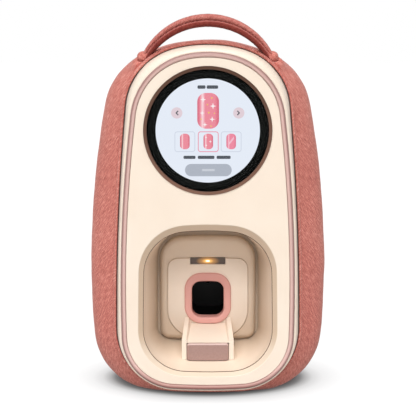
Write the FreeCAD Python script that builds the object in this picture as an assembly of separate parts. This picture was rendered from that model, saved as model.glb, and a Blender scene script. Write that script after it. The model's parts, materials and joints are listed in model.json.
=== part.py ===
import FreeCAD, Part
import os
from math import asin, cos, degrees, hypot, pi, radians, sin, sqrt

# A countertop nail printer. Millimetres, +Z up, front towards -Y, origin on the standing
# surface under the middle of the body. "Depth" is the distance behind the front face.

V = FreeCAD.Vector
X = V(1, 0, 0)
Y = V(0, 1, 0)
Z = V(0, 0, 1)

# ---------------------------------------------------------------- clearances
PARTING = 0.15            # gap between parts that are fitted together
SOFT_GAP = 0.3            # gap beside a soft or moving part
RUNNING = 0.05            # radial clearance of a shaft in its hole

# ---------------------------------------------------------------- body
BODY_DEPTH = 160.0
WALL = 2.5
FABRIC = 3.0              # padded cover
RIM_START = 0.9           # wall beside the trim, at the rim's front edge
RIM_FRONT = 2.6
RIM_DEPTH = 17.4
HEM_WIDTH = 3.2
HEM_LENGTH = 4.6          # along the depth
WIDEST_DEPTH = 47.0
FRONT_STEPS = 6           # sections from the hem to the widest one
REAR_STEPS = 8            # sections from the widest one to the back
ROUNDING_STEPS = 5        # sections of a rounded edge

# ---------------------------------------------------------------- front
PANEL_FACE = 0.8          # depth of the front panel's face
LEDGE_DEPTH = 4.0         # what the trim and the panel seat on
LEDGE_THICKNESS = 2.5
LEDGE_WIDTH = 5.0
TRIM_WIDTH = 4.2
TRIM_ROUND = 2.0
PANEL_GAP = 0.25

# ---------------------------------------------------------------- display
DISPLAY_BELOW_TOP = 65.0  # display centre under the top of the trim
GLASS_RADIUS = 50.8
GLASS_THICKNESS = 1.5
BEZEL_WIDTH = 2.75
BEZEL_FACE = 0.2
BEZEL_FLANGE = 2.4        # reaches out behind the panel
BEZEL_FLANGE_THICKNESS = 1.5
GLASS_SEAT = 2.4
LCD_RADIUS = 45.5
LCD_THICKNESS = 2.8
BOARD = 1.6               # thickness of a circuit board
CUP_RADIUS = 52.0
CUP_DEPTH = 10.5
MAIN_BOARD_WIDTH = 84.0
MAIN_BOARD_HEIGHT = 92.0
MAIN_BOARD_STANDOFF = 12.0

# ---------------------------------------------------------------- finger bay
PORT_Z = 80.6             # height of the finger port's centre
LIP_DEPTH = 5.0
BOWL_DEPTH = 66.0
BOWL_WALL = 2.2
BOWL_FLANGE = 5.2         # width of the flange that is screwed behind the panel
BLOCK_DEPTH = 60.0
BLOCK_ROUND = 5.0
PLATE_THICKNESS = 1.4
PLATE_CHAMFER = 0.4
PLATE_GROOVE = 0.5        # shadow groove around the plate
PLATE_GROOVE_DEPTH = 0.8
LED_WIDTH = 30.7
LED_HEIGHT = 5.6
LED_WINDOW_THICKNESS = 3.0
COLLAR_THICKNESS = 2.1    # flange of the soft port collar
COLLAR_SLEEVE = 2.2
COLLAR_ROUND = 1.4
CHAMBER_WALL = 1.6
CHAMBER_LENGTH = 50.0
CHAMBER_MARGIN = 2.5

# ---------------------------------------------------------------- finger rest
REST_FRONT = 26.0         # depth of its front face
REST_FRONT_HALF = 22.4
REST_REAR_HALF = 20.0
REST_RAIL = 4.3
REST_FRONT_BED = 49.4
REST_REAR_BED = 59.0
REST_FRONT_RAIL = 1.6
REST_REAR_RAIL = 5.2
REST_SINK = 7.6           # how far its sides reach below the bay's mouth before they are trimmed
BUTTON_WIDTH = 36.1
BUTTON_TOP = 48.4
BUTTON_THICKNESS = 6.0
BUTTON_REACH = 18.0       # down to below the bay's floor, before it is trimmed to it
BUTTON_CORNER = 2.4
BUTTON_ROUND = 1.6        # of its front edges
BUTTON_PROUD = 1.6
BUTTON_TRAVEL = 2.5
STEM_RADIUS = 2.5
STEM_LENGTH = 9.0
SPRING_RADIUS = 3.9
SPRING_WIRE = 0.35
SPRING_TURNS = 4

# ---------------------------------------------------------------- handle
HANDLE_DEPTH = 23.5
HANDLE_HALF_SPAN = 55.6   # strap's outer line at the pivots' height
HANDLE_RISE = 34.9        # from the pivots to the outer line's crown
STRAP_THICKNESS = 10.2    # at the crown
STRAP_WIDTH = 12.0
STRAP_TAPER = 0.72        # share of the section left at the ends
STRAP_SECTIONS = 9
CORE_THICKNESS = 2.0
CORE_WIDTH = 4.4
HANDLE_END_SPAN = 54.4
HANDLE_END_RADIUS = 5.4
HANDLE_END_HEIGHT = 4.9   # pivots above the hem's edge
TROUGH_LENGTH = 14.0      # room beside the end for the strap as it swings
TROUGH_MARGIN = 1.3
PIN_RADIUS = 1.2
LUG_THICKNESS = 3.0
LUG_WIDTH = 5.2
LUG_FOOT = 9.0
HANDLE_DIMPLE = 2.5       # the cover's dimple around each end, so that the strap can swing

# ---------------------------------------------------------------- underside
FOOT_HEIGHT = 2.2
FOOT_RADIUS = 7.0
FOOT_X = 34.0
FOOT_DEPTHS = (57.0, BODY_DEPTH - 37.0)
BASE_HALF = 46.0
BASE_DEPTHS = (45.0, BODY_DEPTH - 25.0)
BASE_THICKNESS = 3.0
BASE_CORNER = 12.0
BASE_SCREW_X = 39.0
BASE_SCREW_DEPTHS = (66.0, 106.0)

# ---------------------------------------------------------------- rear panel
REAR_HALF = 48.0
REAR_BOTTOM = 40.0
REAR_TOP = 228.0
REAR_CORNER = 14.0
DOOR_HALF = 36.0
DOOR_BOTTOM = 124.0
DOOR_TOP = 212.0
DOOR_CORNER = 6.0
DOOR_THICKNESS = 2.2
DOOR_BARREL = 2.2         # radius
DOOR_PIN = 1.0            # radius
DOOR_GAP = 0.5
CONTROLS_Z = 62.0         # height of the inlet and the power button
POWER_BUTTON_X = 27.0
POWER_BUTTON_RADIUS = 6.0
POWER_BUTTON_TRAVEL = 1.2
SOCKET_X = -27.0
SOCKET_WIDTH = 9.0
SOCKET_HEIGHT = 3.3
SOCKET_WALL = 0.35
PORT_BOARD_HALF = 46.0
PORT_BOARD_RISE = 9.0

# ---------------------------------------------------------------- print unit
CHASSIS_HALF = 70.5
CHASSIS_DEPTHS = (71.0, BODY_DEPTH - 16.0)
SHEET = 2.5
RAIL_X = 57.0
RAIL_Z = 51.4             # above the port's centre
RAIL_RADIUS = 2.5
SCREW_Z = 31.4            # lead screw above the port's centre
LEAD_RADIUS = 2.5
LUG_PLATE = 4.0
SLIDE_DEPTHS = (96.0, 124.0)
SLIDE_INNER = 48.0
SLIDE_OUTER = 64.0
ROD_DEPTH = 110.0
ROD_LOW_Z = 43.4
ROD_HIGH_Z = 69.4
ROD_RADIUS = 2.0
ROD_SOCKET = 4.0
CARTRIDGE_HALF = 14.0
CARTRIDGE_DEPTHS = (80.0, 104.0)
CARTRIDGE_GAP = 1.6       # nozzle face above the chamber
CARTRIDGE_HEIGHT = 46.0
CUP_WALL = 2.0
BELT_Z = 60.4             # pulley centres above the port's centre
BELT_RADIUS = 5.0
BELT_THICKNESS = 1.0
BELT_WIDTH = 3.6
PULLEY_X = 40.0
PULLEY_FLANGE = 0.8
MOTOR_RADIUS = 9.0
MOTOR_LENGTH = 13.0
SHAFT_RADIUS = 1.5
STAGE_MOTOR_LENGTH = 15.5
LATCH_LENGTH = 26.0
LATCH_WIDTH = 9.4
POST_X = 41.0
POST_DEPTHS = (80.0, CHASSIS_DEPTHS[1] - 8.0)
POST_RADIUS = 4.0
BATTERY_HALF = 32.0
BATTERY_DEPTHS = (84.0, CHASSIS_DEPTHS[1] - 12.0)
BATTERY_HEIGHT = 22.0
SPEAKER_RADIUS = 14.0
SPEAKER_HEIGHT = 7.0
SPEAKER_DEPTH = 66.0

# ---------------------------------------------------------------- screws
FRAME_SCREW_HEIGHTS = (48.0, 112.0, 180.0, 246.0)
PANEL_SCREW_HEIGHTS = (78.0, 146.0, 212.0)
BOWL_SCREW_RISES = (-20.0, 34.0)      # above the port's centre
BAY_SCREW_RISES = (-26.0, 42.0)
BAY_SCREW_X = 28.0
SCREW_RADIUS = 1.2
HEAD_RADIUS = 2.2
HEAD_HEIGHT = 1.7
LOW_HEAD_HEIGHT = 1.0     # where the carriage passes close by
BOSS_RADIUS = 4.0


# ================================================================ outlines
class Outline:
    """Closed outline seen from the front, symmetric about x = 0, in eight tangent arcs:
    a crown, two shoulders, two long sides, two corners and a base. The long sides bow
    outwards a little; half is the half-width where they are widest, at the height level."""

    def __init__(self, half, level, side, top, bottom, crown, shoulder, corner, base):
        self.values = (half, level, side, top, bottom, crown, shoulder, corner, base)
        self.half, self.level, self.side, self.top, self.bottom = self.values[:5]
        self.crown, self.shoulder, self.corner, self.base = self.values[5:]
        self.shoulder_x, self.shoulder_z = self.between(top - crown, crown, shoulder, 1)
        self.corner_x, self.corner_z = self.between(bottom + base, base, corner, -1)
        self.crown_turn = asin(self.shoulder_x / (crown - shoulder))
        self.base_turn = asin(self.corner_x / (base - corner))
        self.upper_lean = asin((self.shoulder_z - level) / (side - shoulder))
        self.lower_lean = asin((level - self.corner_z) / (side - corner))

    def between(self, height, big, small, up):
        """Centre of the small arc that joins a long side to the big arc about (0, height)."""
        to_x = self.half - self.side
        to_z = self.level - height
        apart = hypot(to_x, to_z)
        along = ((big - small) ** 2 - (self.side - small) ** 2 + apart ** 2) / (2 * apart)
        across = up * sqrt((big - small) ** 2 - along ** 2)
        x = (along * to_x + across * to_z) / apart
        z = height + (along * to_z - across * to_x) / apart
        return x, z

    def offset(self, out):
        """The same outline moved outwards by out on every side."""
        radii = [r + out for r in (self.crown, self.shoulder, self.corner, self.base)]
        return Outline(self.half + out, self.level, self.side + out, self.top + out,
                       self.bottom - out, *radii)

    def crown_point(self, turn):
        return (self.crown * sin(turn), self.top - self.crown + self.crown * cos(turn))

    def shoulder_point(self, turn):
        return (self.shoulder_x + self.shoulder * sin(turn),
                self.shoulder_z + self.shoulder * cos(turn))

    def corner_point(self, turn):
        return (self.corner_x + self.corner * sin(turn), self.corner_z - self.corner * cos(turn))

    def side_point(self, turn):
        return (self.half - self.side + self.side * cos(turn),
                self.level + self.side * sin(turn))

    def wire(self, y):
        square = pi / 2
        crown_end = self.crown_point(self.crown_turn)
        shoulder_mid = self.shoulder_point((self.crown_turn + square - self.upper_lean) / 2)
        side_top = self.side_point(self.upper_lean)
        side_mid = self.side_point((self.upper_lean - self.lower_lean) / 2)
        side_low = self.side_point(-self.lower_lean)
        corner_mid = self.corner_point((self.base_turn + square - self.lower_lean) / 2)
        base_end = self.corner_point(self.base_turn)

        def right(point):
            return V(point[0], y, point[1])

        def left(point):
            return V(-point[0], y, point[1])

        edges = [
            Part.Arc(left(crown_end), V(0, y, self.top), right(crown_end)),
            Part.Arc(right(crown_end), right(shoulder_mid), right(side_top)),
            Part.Arc(right(side_top), right(side_mid), right(side_low)),
            Part.Arc(right(side_low), right(corner_mid), right(base_end)),
            Part.Arc(right(base_end), V(0, y, self.bottom), left(base_end)),
            Part.Arc(left(base_end), left(corner_mid), left(side_low)),
            Part.Arc(left(side_low), left(side_mid), left(side_top)),
            Part.Arc(left(side_top), left(shoulder_mid), left(crown_end)),
        ]
        return Part.Wire([edge.toShape() for edge in edges])

    def top_at(self, x):
        """Height of the outline's upper side at x."""
        if abs(x) <= self.crown * sin(self.crown_turn):
            return self.top - self.crown + sqrt(self.crown ** 2 - x ** 2)
        return self.shoulder_z + sqrt(self.shoulder ** 2 - (abs(x) - self.shoulder_x) ** 2)

    def bottom_at(self, x):
        """Height of the outline's lower side at x."""
        if abs(x) <= self.base * sin(self.base_turn):
            return self.bottom + self.base - sqrt(self.base ** 2 - x ** 2)
        return self.corner_z - sqrt(self.corner ** 2 - (abs(x) - self.corner_x) ** 2)

    def right_at(self, z):
        """The right side's x at the height z."""
        if z > self.side_point(self.upper_lean)[1]:
            return self.shoulder_x + sqrt(self.shoulder ** 2 - (z - self.shoulder_z) ** 2)
        if z < self.side_point(-self.lower_lean)[1]:
            return self.corner_x + sqrt(self.corner ** 2 - (z - self.corner_z) ** 2)
        return self.half - self.side + sqrt(self.side ** 2 - (z - self.level) ** 2)


def blend(first, second, share):
    pairs = zip(first.values, second.values)
    return Outline(*[a + (b - a) * share for a, b in pairs])


# The trim's outer edge gives the face its shape, and the rim stands outside it.
TRIM = Outline(half=73.2, level=95.0, side=1274.0, top=299.0, bottom=13.5,
               crown=88.0, shoulder=58.0, corner=46.0, base=508.0)
RIM = Outline(half=77.0, level=67.0, side=2007.0, top=304.5, bottom=11.2,
              crown=113.0, shoulder=53.8, corner=51.7, base=586.0)
# The padded cover where it is widest, and at the back face.
WIDEST = Outline(half=101.0, level=111.0, side=760.0, top=306.9, bottom=2.0,
                 crown=135.0, shoulder=56.5, corner=55.0, base=700.0)
BACK = Outline(half=83.0, level=111.0, side=742.0, top=290.8, bottom=6.0,
               crown=117.0, shoulder=40.0, corner=39.0, base=684.0)
HEM = RIM.offset(SOFT_GAP + HEM_WIDTH)
PANEL = TRIM.offset(-TRIM_WIDTH - PANEL_GAP)

# The finger bay's outlines, measured from the centre of the port.
BAY_SIDE = 3600.0
BAY_WIDEST_BELOW = 40.0
INNER_SIDE = 4000.0
LIP = Outline(half=59.1, level=PORT_Z - BAY_WIDEST_BELOW, side=BAY_SIDE,
              top=PORT_Z + 75.1, bottom=PORT_Z - 56.0,
              crown=250.0, shoulder=41.0, corner=40.0, base=420.0)
MOUTH = Outline(half=54.8, level=PORT_Z - BAY_WIDEST_BELOW, side=BAY_SIDE,
                top=PORT_Z + 69.0, bottom=PORT_Z - 52.4,
                crown=230.0, shoulder=37.0, corner=36.5, base=400.0)
BLOCK = Outline(half=41.9, level=PORT_Z, side=INNER_SIDE,
                top=PORT_Z + 55.8, bottom=PORT_Z - 37.2,
                crown=500.0, shoulder=20.0, corner=8.0, base=500.0)
BOWL_BACK = Outline(half=44.0, level=PORT_Z, side=INNER_SIDE,
                    top=PORT_Z + 60.0, bottom=PORT_Z - 38.6,
                    crown=300.0, shoulder=24.0, corner=12.0, base=400.0)
PLATE = Outline(half=35.2, level=PORT_Z, side=INNER_SIDE,
                top=PORT_Z + 36.6, bottom=PORT_Z - 34.1,
                crown=600.0, shoulder=9.0, corner=24.0, base=300.0)
COLLAR = Outline(half=20.35, level=PORT_Z, side=INNER_SIDE,
                 top=PORT_Z + 23.5, bottom=PORT_Z - 21.8,
                 crown=120.0, shoulder=14.5, corner=15.0, base=120.0)
PORT = Outline(half=13.95, level=PORT_Z, side=INNER_SIDE,
               top=PORT_Z + 16.1, bottom=PORT_Z - 16.1,
               crown=90.0, shoulder=7.5, corner=8.0, base=90.0)


# ================================================================ shape helpers
def at(depth):
    """Y of a depth behind the front face."""
    return depth - BODY_DEPTH / 2


def prism(outline, front, back):
    face = Part.Face(outline.wire(at(front)))
    return face.extrude(V(0, back - front, 0))


def loft(sections):
    """Solid through (depth, outline) pairs."""
    return Part.makeLoft([outline.wire(at(depth)) for depth, outline in sections], True, True)


def block(x0, x1, front, back, z0, z1):
    return Part.makeBox(x1 - x0, back - front, z1 - z0, V(x0, at(front), z0))


def rounded_block(x0, x1, front, back, z0, z1, radius):
    """Box with its four edges along the depth rounded."""
    solid = block(x0, x1, front, back, z0, z1)
    edges = [e for e in solid.Edges if abs(e.Vertexes[0].Y - e.Vertexes[1].Y) > 1e-6]
    return solid.makeFillet(radius, edges)


def rod(x, z, front, back, radius):
    """Cylinder along the depth."""
    return Part.makeCylinder(radius, back - front, V(x, at(front), z), Y)


def cross_rod(x0, x1, depth, z, radius):
    """Cylinder along the width."""
    return Part.makeCylinder(radius, x1 - x0, V(x0, at(depth), z), X)


def post(x, depth, z0, z1, radius):
    """Upright cylinder."""
    return Part.makeCylinder(radius, z1 - z0, V(x, at(depth), z0), Z)


def both_sides(xs):
    return [side * x for x in xs for side in (-1, 1)]


def screws(places, tip, seat, head=HEAD_HEIGHT):
    """Screws along the depth at (x, z) places, driven in from behind."""
    solids = []
    for x, z in places:
        shank = rod(x, z, tip, seat, SCREW_RADIUS)
        solids.append(shank.fuse(rod(x, z, seat, seat + head, HEAD_RADIUS)).removeSplitter())
    return solids


def screw_holes(places, tip, seat):
    return [rod(x, z, tip, seat, SCREW_RADIUS + RUNNING) for x, z in places]


def bead_ring(outer, inner, crest, back, radius):
    """Ring between two outlines with rounded front edges."""
    steps = range(ROUNDING_STEPS + 1)
    turns = [pi / 2 * step / ROUNDING_STEPS for step in steps]
    rim = [(crest + radius * (1 - sin(turn)), radius * (1 - cos(turn))) for turn in reversed(turns)]
    outside = loft([(depth, outer.offset(-drop)) for depth, drop in rim] + [(back, outer)])
    inside = loft([(depth, inner.offset(drop)) for depth, drop in rim] + [(back, inner)])
    return outside.cut(inside)


def save(node, solids):
    shape = solids if isinstance(solids, Part.Shape) else Part.makeCompound(solids)
    shape.exportStep("parts/" + node + ".step")


# ================================================================ the padded body
def skin(depth):
    """Outer face of the padded cover at a depth."""
    start = RIM_DEPTH + HEM_LENGTH / 2
    if depth <= start:
        return HEM
    if depth < WIDEST_DEPTH:
        share = (depth - start) / (WIDEST_DEPTH - start)
        return blend(HEM, WIDEST, sin(pi / 2 * share))
    share = min(1.0, (depth - WIDEST_DEPTH) / (BODY_DEPTH - WIDEST_DEPTH))
    return blend(WIDEST, BACK, 1 - sqrt(1 - share ** 3))


def skin_depths(front, back):
    """Depths of the sections, closer together towards the rounded back."""
    ahead = [front + (WIDEST_DEPTH - front) * step / FRONT_STEPS for step in range(FRONT_STEPS)]
    span = BODY_DEPTH - WIDEST_DEPTH
    turns = [pi / 2 * step / REAR_STEPS for step in range(REAR_STEPS)]
    behind = [WIDEST_DEPTH + span * sin(turn) for turn in turns]
    return ahead + [depth for depth in behind if depth < back - 0.5] + [back]


def skin_solid(inset, front, back, lead=0.0):
    """The body between two depths, with a straight lead ahead of the front one."""
    depths = skin_depths(front, back)
    if lead > 0:
        depths = [front - lead] + depths
    return loft([(depth, skin(depth).offset(-inset)) for depth in depths])


COVER_FRONT = RIM_DEPTH + HEM_LENGTH / 2
SHELL_INSET = FABRIC + SOFT_GAP
INNER_INSET = SHELL_INSET + WALL
SHELL_BACK = BODY_DEPTH - SHELL_INSET
INNER_BACK = BODY_DEPTH - INNER_INSET
FLANGE_BACK = RIM_DEPTH + WALL
PIVOT_Z = HEM.top_at(HANDLE_END_SPAN) + HANDLE_END_HEIGHT
INSIDE_FLOOR = max(skin(depth).offset(-INNER_INSET).bottom_at(BATTERY_HALF)
                   for depth in BATTERY_DEPTHS) + SOFT_GAP

# Screw places as (x, z). Frame screws lie in bosses behind the rim, panel screws in the ledge.
BOSS_LINE = TRIM.offset(-2.5)
PANEL_SCREW_LINE = PANEL.offset(-2.4)
FRAME_SCREWS = [(side * BOSS_LINE.right_at(z), z) for z in FRAME_SCREW_HEIGHTS
                for side in (-1, 1)]
PANEL_SCREWS = [(side * PANEL_SCREW_LINE.right_at(z), z) for z in PANEL_SCREW_HEIGHTS
                for side in (-1, 1)]
BOWL_SCREW_LINE = LIP.offset(2.6)
BOWL_SCREWS = [(side * BOWL_SCREW_LINE.right_at(PORT_Z + rise), PORT_Z + rise)
               for rise in BOWL_SCREW_RISES for side in (-1, 1)]
BAY_SCREWS = [(x, PORT_Z + rise) for rise in BAY_SCREW_RISES
              for x in both_sides((BAY_SCREW_X,))]


ARCH_RADIUS = (HANDLE_HALF_SPAN ** 2 + HANDLE_RISE ** 2) / (2 * HANDLE_RISE)
ARCH_Z = PIVOT_Z + HANDLE_RISE - ARCH_RADIUS
ARCH_REACH = asin(HANDLE_HALF_SPAN / ARCH_RADIUS)


def strap_share(turn):
    """Share of the strap's section that is left at an angle from the crown."""
    return STRAP_TAPER + (1 - STRAP_TAPER) * cos(pi / 2 * turn / ARCH_REACH)


def strap_middle(turn):
    return ARCH_RADIUS - STRAP_THICKNESS * strap_share(turn) / 2


def padded_arch():
    """Elliptic bar under the handle's outer line, from pivot to pivot, thinner at its ends."""
    centre = V(0, at(HANDLE_DEPTH), ARCH_Z)
    wires = []
    for step in range(STRAP_SECTIONS):
        turn = ARCH_REACH * (2 * step / (STRAP_SECTIONS - 1) - 1)
        share = strap_share(turn)
        section = Part.Ellipse(V(0, STRAP_WIDTH * share / 2, 0),
                               V(0, 0, STRAP_THICKNESS * share / 2), V(0, 0, 0)).toShape()
        wire = Part.Wire([section])
        wire.translate(centre + V(0, 0, strap_middle(turn)))
        wire.rotate(centre, Y, degrees(turn))
        wires.append(wire)
    return Part.makeLoft(wires, True, False)


def core_arch(clearance):
    """Flat band along the middle of the strap."""
    half = CORE_THICKNESS / 2 + clearance
    front = at(HANDLE_DEPTH) - CORE_WIDTH / 2 - clearance

    def arch_point(turn, out):
        reach = strap_middle(turn) + out
        return V(reach * sin(turn), front, ARCH_Z + reach * cos(turn))

    turns = (-ARCH_REACH, 0.0, ARCH_REACH)
    upper = Part.Arc(*[arch_point(turn, half) for turn in turns])
    lower = Part.Arc(*[arch_point(turn, -half) for turn in turns])
    ends = [Part.LineSegment(arch_point(turn, half), arch_point(turn, -half))
            for turn in (turns[0], turns[2])]
    edges = [edge.toShape() for edge in (ends[0], upper, ends[1], lower)]
    face = Part.Face(Part.Wire(Part.sortEdges(edges)[0]))
    return face.extrude(V(0, CORE_WIDTH + 2 * clearance, 0))


def end_places():
    return both_sides((HANDLE_END_SPAN,))


def handle_parts():
    y = at(HANDLE_DEPTH)
    core = core_arch(0.0)
    strap = padded_arch().cut(core_arch(PARTING))
    ends = []
    pins = []
    for x in end_places():
        socket = Part.makeCylinder(HANDLE_END_RADIUS + PARTING, 2 * STRAP_WIDTH,
                                   V(x, y - STRAP_WIDTH, PIVOT_Z), Y)
        strap = strap.cut(socket)
        core = core.cut(socket)
        ball = Part.makeSphere(HANDLE_END_RADIUS, V(x, y, PIVOT_Z))
        half = LUG_THICKNESS / 2 + 0.2
        clear = LUG_WIDTH / 2 + SOFT_GAP
        slot = Part.makeBox(2 * half, 2 * HANDLE_END_RADIUS, HANDLE_END_RADIUS + clear,
                            V(x - half, y - HANDLE_END_RADIUS, PIVOT_Z - HANDLE_END_RADIUS))
        reach = HANDLE_END_RADIUS - 1.2
        ball = ball.cut(slot)
        ball = ball.cut(cross_rod(x - reach, x + reach, HANDLE_DEPTH, PIVOT_Z,
                                  PIN_RADIUS + RUNNING))
        ends.append(ball)
        pins.append(cross_rod(x - reach + PARTING, x + reach - PARTING, HANDLE_DEPTH, PIVOT_Z,
                              PIN_RADIUS))
    save("handle_strap", strap)
    save("handle_core", core)
    save("handle_ends", ends)
    save("handle_pins", pins)


def handle_lugs():
    """Upright tabs from under the shell's roof into the handle's ends."""
    inside = skin_solid(INNER_INSET + SOFT_GAP, RIM_DEPTH + WALL + SOFT_GAP, INNER_BACK)
    lugs = []
    for x in end_places():
        half = LUG_THICKNESS / 2
        front = HANDLE_DEPTH - LUG_WIDTH / 2
        back = HANDLE_DEPTH + LUG_WIDTH / 2
        low = PIVOT_Z - 22.0
        tab = block(x - half, x + half, front, back, low, PIVOT_Z)
        eye = cross_rod(x - half, x + half, HANDLE_DEPTH, PIVOT_Z, LUG_WIDTH / 2)
        foot = block(x - LUG_FOOT, x + LUG_FOOT, front - 1, back + LUG_FOOT, low, PIVOT_Z)
        foot = foot.common(inside)
        lug = tab.fuse([eye, foot])
        lug = lug.cut(cross_rod(x - half, x + half, HANDLE_DEPTH, PIVOT_Z, PIN_RADIUS + RUNNING))
        lugs.append(lug.removeSplitter())
    save("handle_lugs", lugs)


def handle_room(clearance):
    """Dimples for the handle's ends, with a trough beside each for the end of the strap."""
    y = at(HANDLE_DEPTH)
    radius = HANDLE_END_RADIUS + clearance
    trough = STRAP_WIDTH * STRAP_TAPER / 2 + TROUGH_MARGIN + clearance
    rooms = []
    for x in end_places():
        rooms.append(Part.makeSphere(radius, V(x, y, PIVOT_Z)))
        near, far = sorted((x, x - TROUGH_LENGTH * x / abs(x)))
        rooms.append(cross_rod(near, far, HANDLE_DEPTH, PIVOT_Z, trough))
    return rooms


def lug_slots():
    slots = []
    for x in end_places():
        half = LUG_THICKNESS / 2 + PARTING
        front = HANDLE_DEPTH - LUG_WIDTH / 2 - PARTING
        back = HANDLE_DEPTH + LUG_WIDTH / 2 + PARTING
        slots.append(block(x - half, x + half, front, back, PIVOT_Z - 20.0, PIVOT_Z))
    return slots


# ================================================================ shells
def base_window(clearance):
    return rounded_plate(BASE_HALF + clearance, BASE_DEPTHS[0] - clearance,
                         BASE_DEPTHS[1] + clearance, -1.0, FOOT_HEIGHT + BASE_THICKNESS + 12.0,
                         BASE_CORNER + clearance)


def rounded_plate(half, front, back, z0, z1, radius):
    """Flat plate with its four upright edges rounded."""
    solid = block(-half, half, front, back, z0, z1)
    edges = [e for e in solid.Edges if abs(e.Vertexes[0].Z - e.Vertexes[1].Z) > 1e-6]
    return solid.makeFillet(radius, edges)


def rear_opening(inset, front, back):
    """Window in the back, inset from the rear panel's edge."""
    return rounded_block(-REAR_HALF + inset, REAR_HALF - inset, front, back,
                         REAR_BOTTOM + inset, REAR_TOP - inset, REAR_CORNER - inset)


def fabric_cover():
    cover = skin_solid(0, COVER_FRONT, BODY_DEPTH)
    cover = cover.cut(skin_solid(FABRIC, COVER_FRONT, BODY_DEPTH - FABRIC, lead=1.0))
    tools = [base_window(SOFT_GAP), rear_opening(-SOFT_GAP, BODY_DEPTH - 20, BODY_DEPTH + 5)]
    return cover.cut(tools + handle_room(HANDLE_DIMPLE) + lug_slots())


def fabric_hem():
    outer = HEM
    inner = RIM.offset(SOFT_GAP)
    ring = bead_ring(outer, inner, RIM_DEPTH - HEM_LENGTH / 2, COVER_FRONT, 1.4)
    return ring.cut(handle_room(SOFT_GAP))


SHELL_POSTS = [(side * POST_X, depth) for depth in POST_DEPTHS for side in (-1, 1)]
BASE_SCREWS = [(side * BASE_SCREW_X, depth) for depth in BASE_SCREW_DEPTHS for side in (-1, 1)]
CHASSIS_FLOOR = PORT.offset(CHAMBER_MARGIN + CHAMBER_WALL).bottom - SOFT_GAP - SHEET
BOARD_POSTS = [(x, CONTROLS_Z) for x in both_sides((41.0,))]
PORT_BOARD_BACK = INNER_BACK - 5.6


def rear_shell():
    shell = skin_solid(SHELL_INSET, COVER_FRONT, SHELL_BACK)
    lip = prism(skin(0).offset(-SHELL_INSET), RIM_DEPTH, COVER_FRONT)
    shell = shell.fuse(lip)
    room = skin_solid(INNER_INSET, FLANGE_BACK, INNER_BACK)
    mouth = prism(BOSS_LINE.offset(-BOSS_RADIUS), RIM_DEPTH - 1, FLANGE_BACK + 1)
    shell = shell.cut([room, mouth])
    adds = []
    for x, depth in SHELL_POSTS:
        adds.append(post(x, depth, skin(depth).bottom_at(x) + SHELL_INSET + 1,
                         CHASSIS_FLOOR, POST_RADIUS))
    for x, depth in BASE_SCREWS:
        adds.append(post(x, depth, skin(depth).bottom_at(x) + SHELL_INSET + 1, 15.0, BOSS_RADIUS))
    for x, z in BOARD_POSTS:
        adds.append(rod(x, z, PORT_BOARD_BACK, INNER_BACK + 1, 3.0))
    shell = shell.fuse(adds)
    cuts = screw_holes(FRAME_SCREWS, RIM_DEPTH - 1, FLANGE_BACK + 1)
    cuts += screw_holes(BOARD_POSTS, PORT_BOARD_BACK - 1, INNER_BACK)
    for x, depth in SHELL_POSTS:
        cuts.append(post(x, depth, CHASSIS_FLOOR - 8, CHASSIS_FLOOR + 1, SCREW_RADIUS + RUNNING))
    for x, depth in BASE_SCREWS:
        cuts.append(post(x, depth, 0, 12.0, SCREW_RADIUS + RUNNING))
    cuts.append(doorway(2.0, INNER_BACK - 10, BODY_DEPTH))
    cuts.append(block(-DOOR_HALF - 1, DOOR_HALF + 1, INNER_BACK - 1, BODY_DEPTH,
                      DOOR_BOTTOM - 2, HINGE_Z + DOOR_BARREL + 1))
    cuts.append(rod(POWER_BUTTON_X, CONTROLS_Z, INNER_BACK - 5, BODY_DEPTH,
                    POWER_BUTTON_RADIUS + 2.4))
    cuts.append(socket_hole(1.5, INNER_BACK - 5))
    cuts += screw_holes(REAR_SCREWS, INNER_BACK - 4, BODY_DEPTH)
    cuts += speaker_holes() + handle_room(SOFT_GAP)
    return shell.cut(cuts + lug_slots())


def doorway(inset, front, back):
    return rounded_block(-DOOR_HALF + inset, DOOR_HALF - inset, front, back,
                         DOOR_BOTTOM + inset, DOOR_TOP - inset, DOOR_CORNER)


def socket_hole(clearance, front):
    half_width = SOCKET_WIDTH / 2 + clearance
    half_height = SOCKET_HEIGHT / 2 + clearance
    return rounded_block(SOCKET_X - half_width, SOCKET_X + half_width, front, BODY_DEPTH + 1,
                         CONTROLS_Z - half_height, CONTROLS_Z + half_height, half_height - 0.02)


def speaker_holes():
    places = [(0.0, 0.0)]
    for ring, count in ((4.5, 6), (9.0, 12)):
        for step in range(count):
            turn = 2 * pi * step / count
            places.append((ring * cos(turn), ring * sin(turn)))
    return [post(x, SPEAKER_DEPTH + y, -1, 14.0, 0.9) for x, y in places]


# ================================================================ front
def rim_section(turn):
    depth = RIM_FRONT + (RIM_DEPTH - RIM_FRONT) * (1 - cos(turn))
    return depth, blend(TRIM.offset(RIM_START), RIM, sin(turn))


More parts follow.
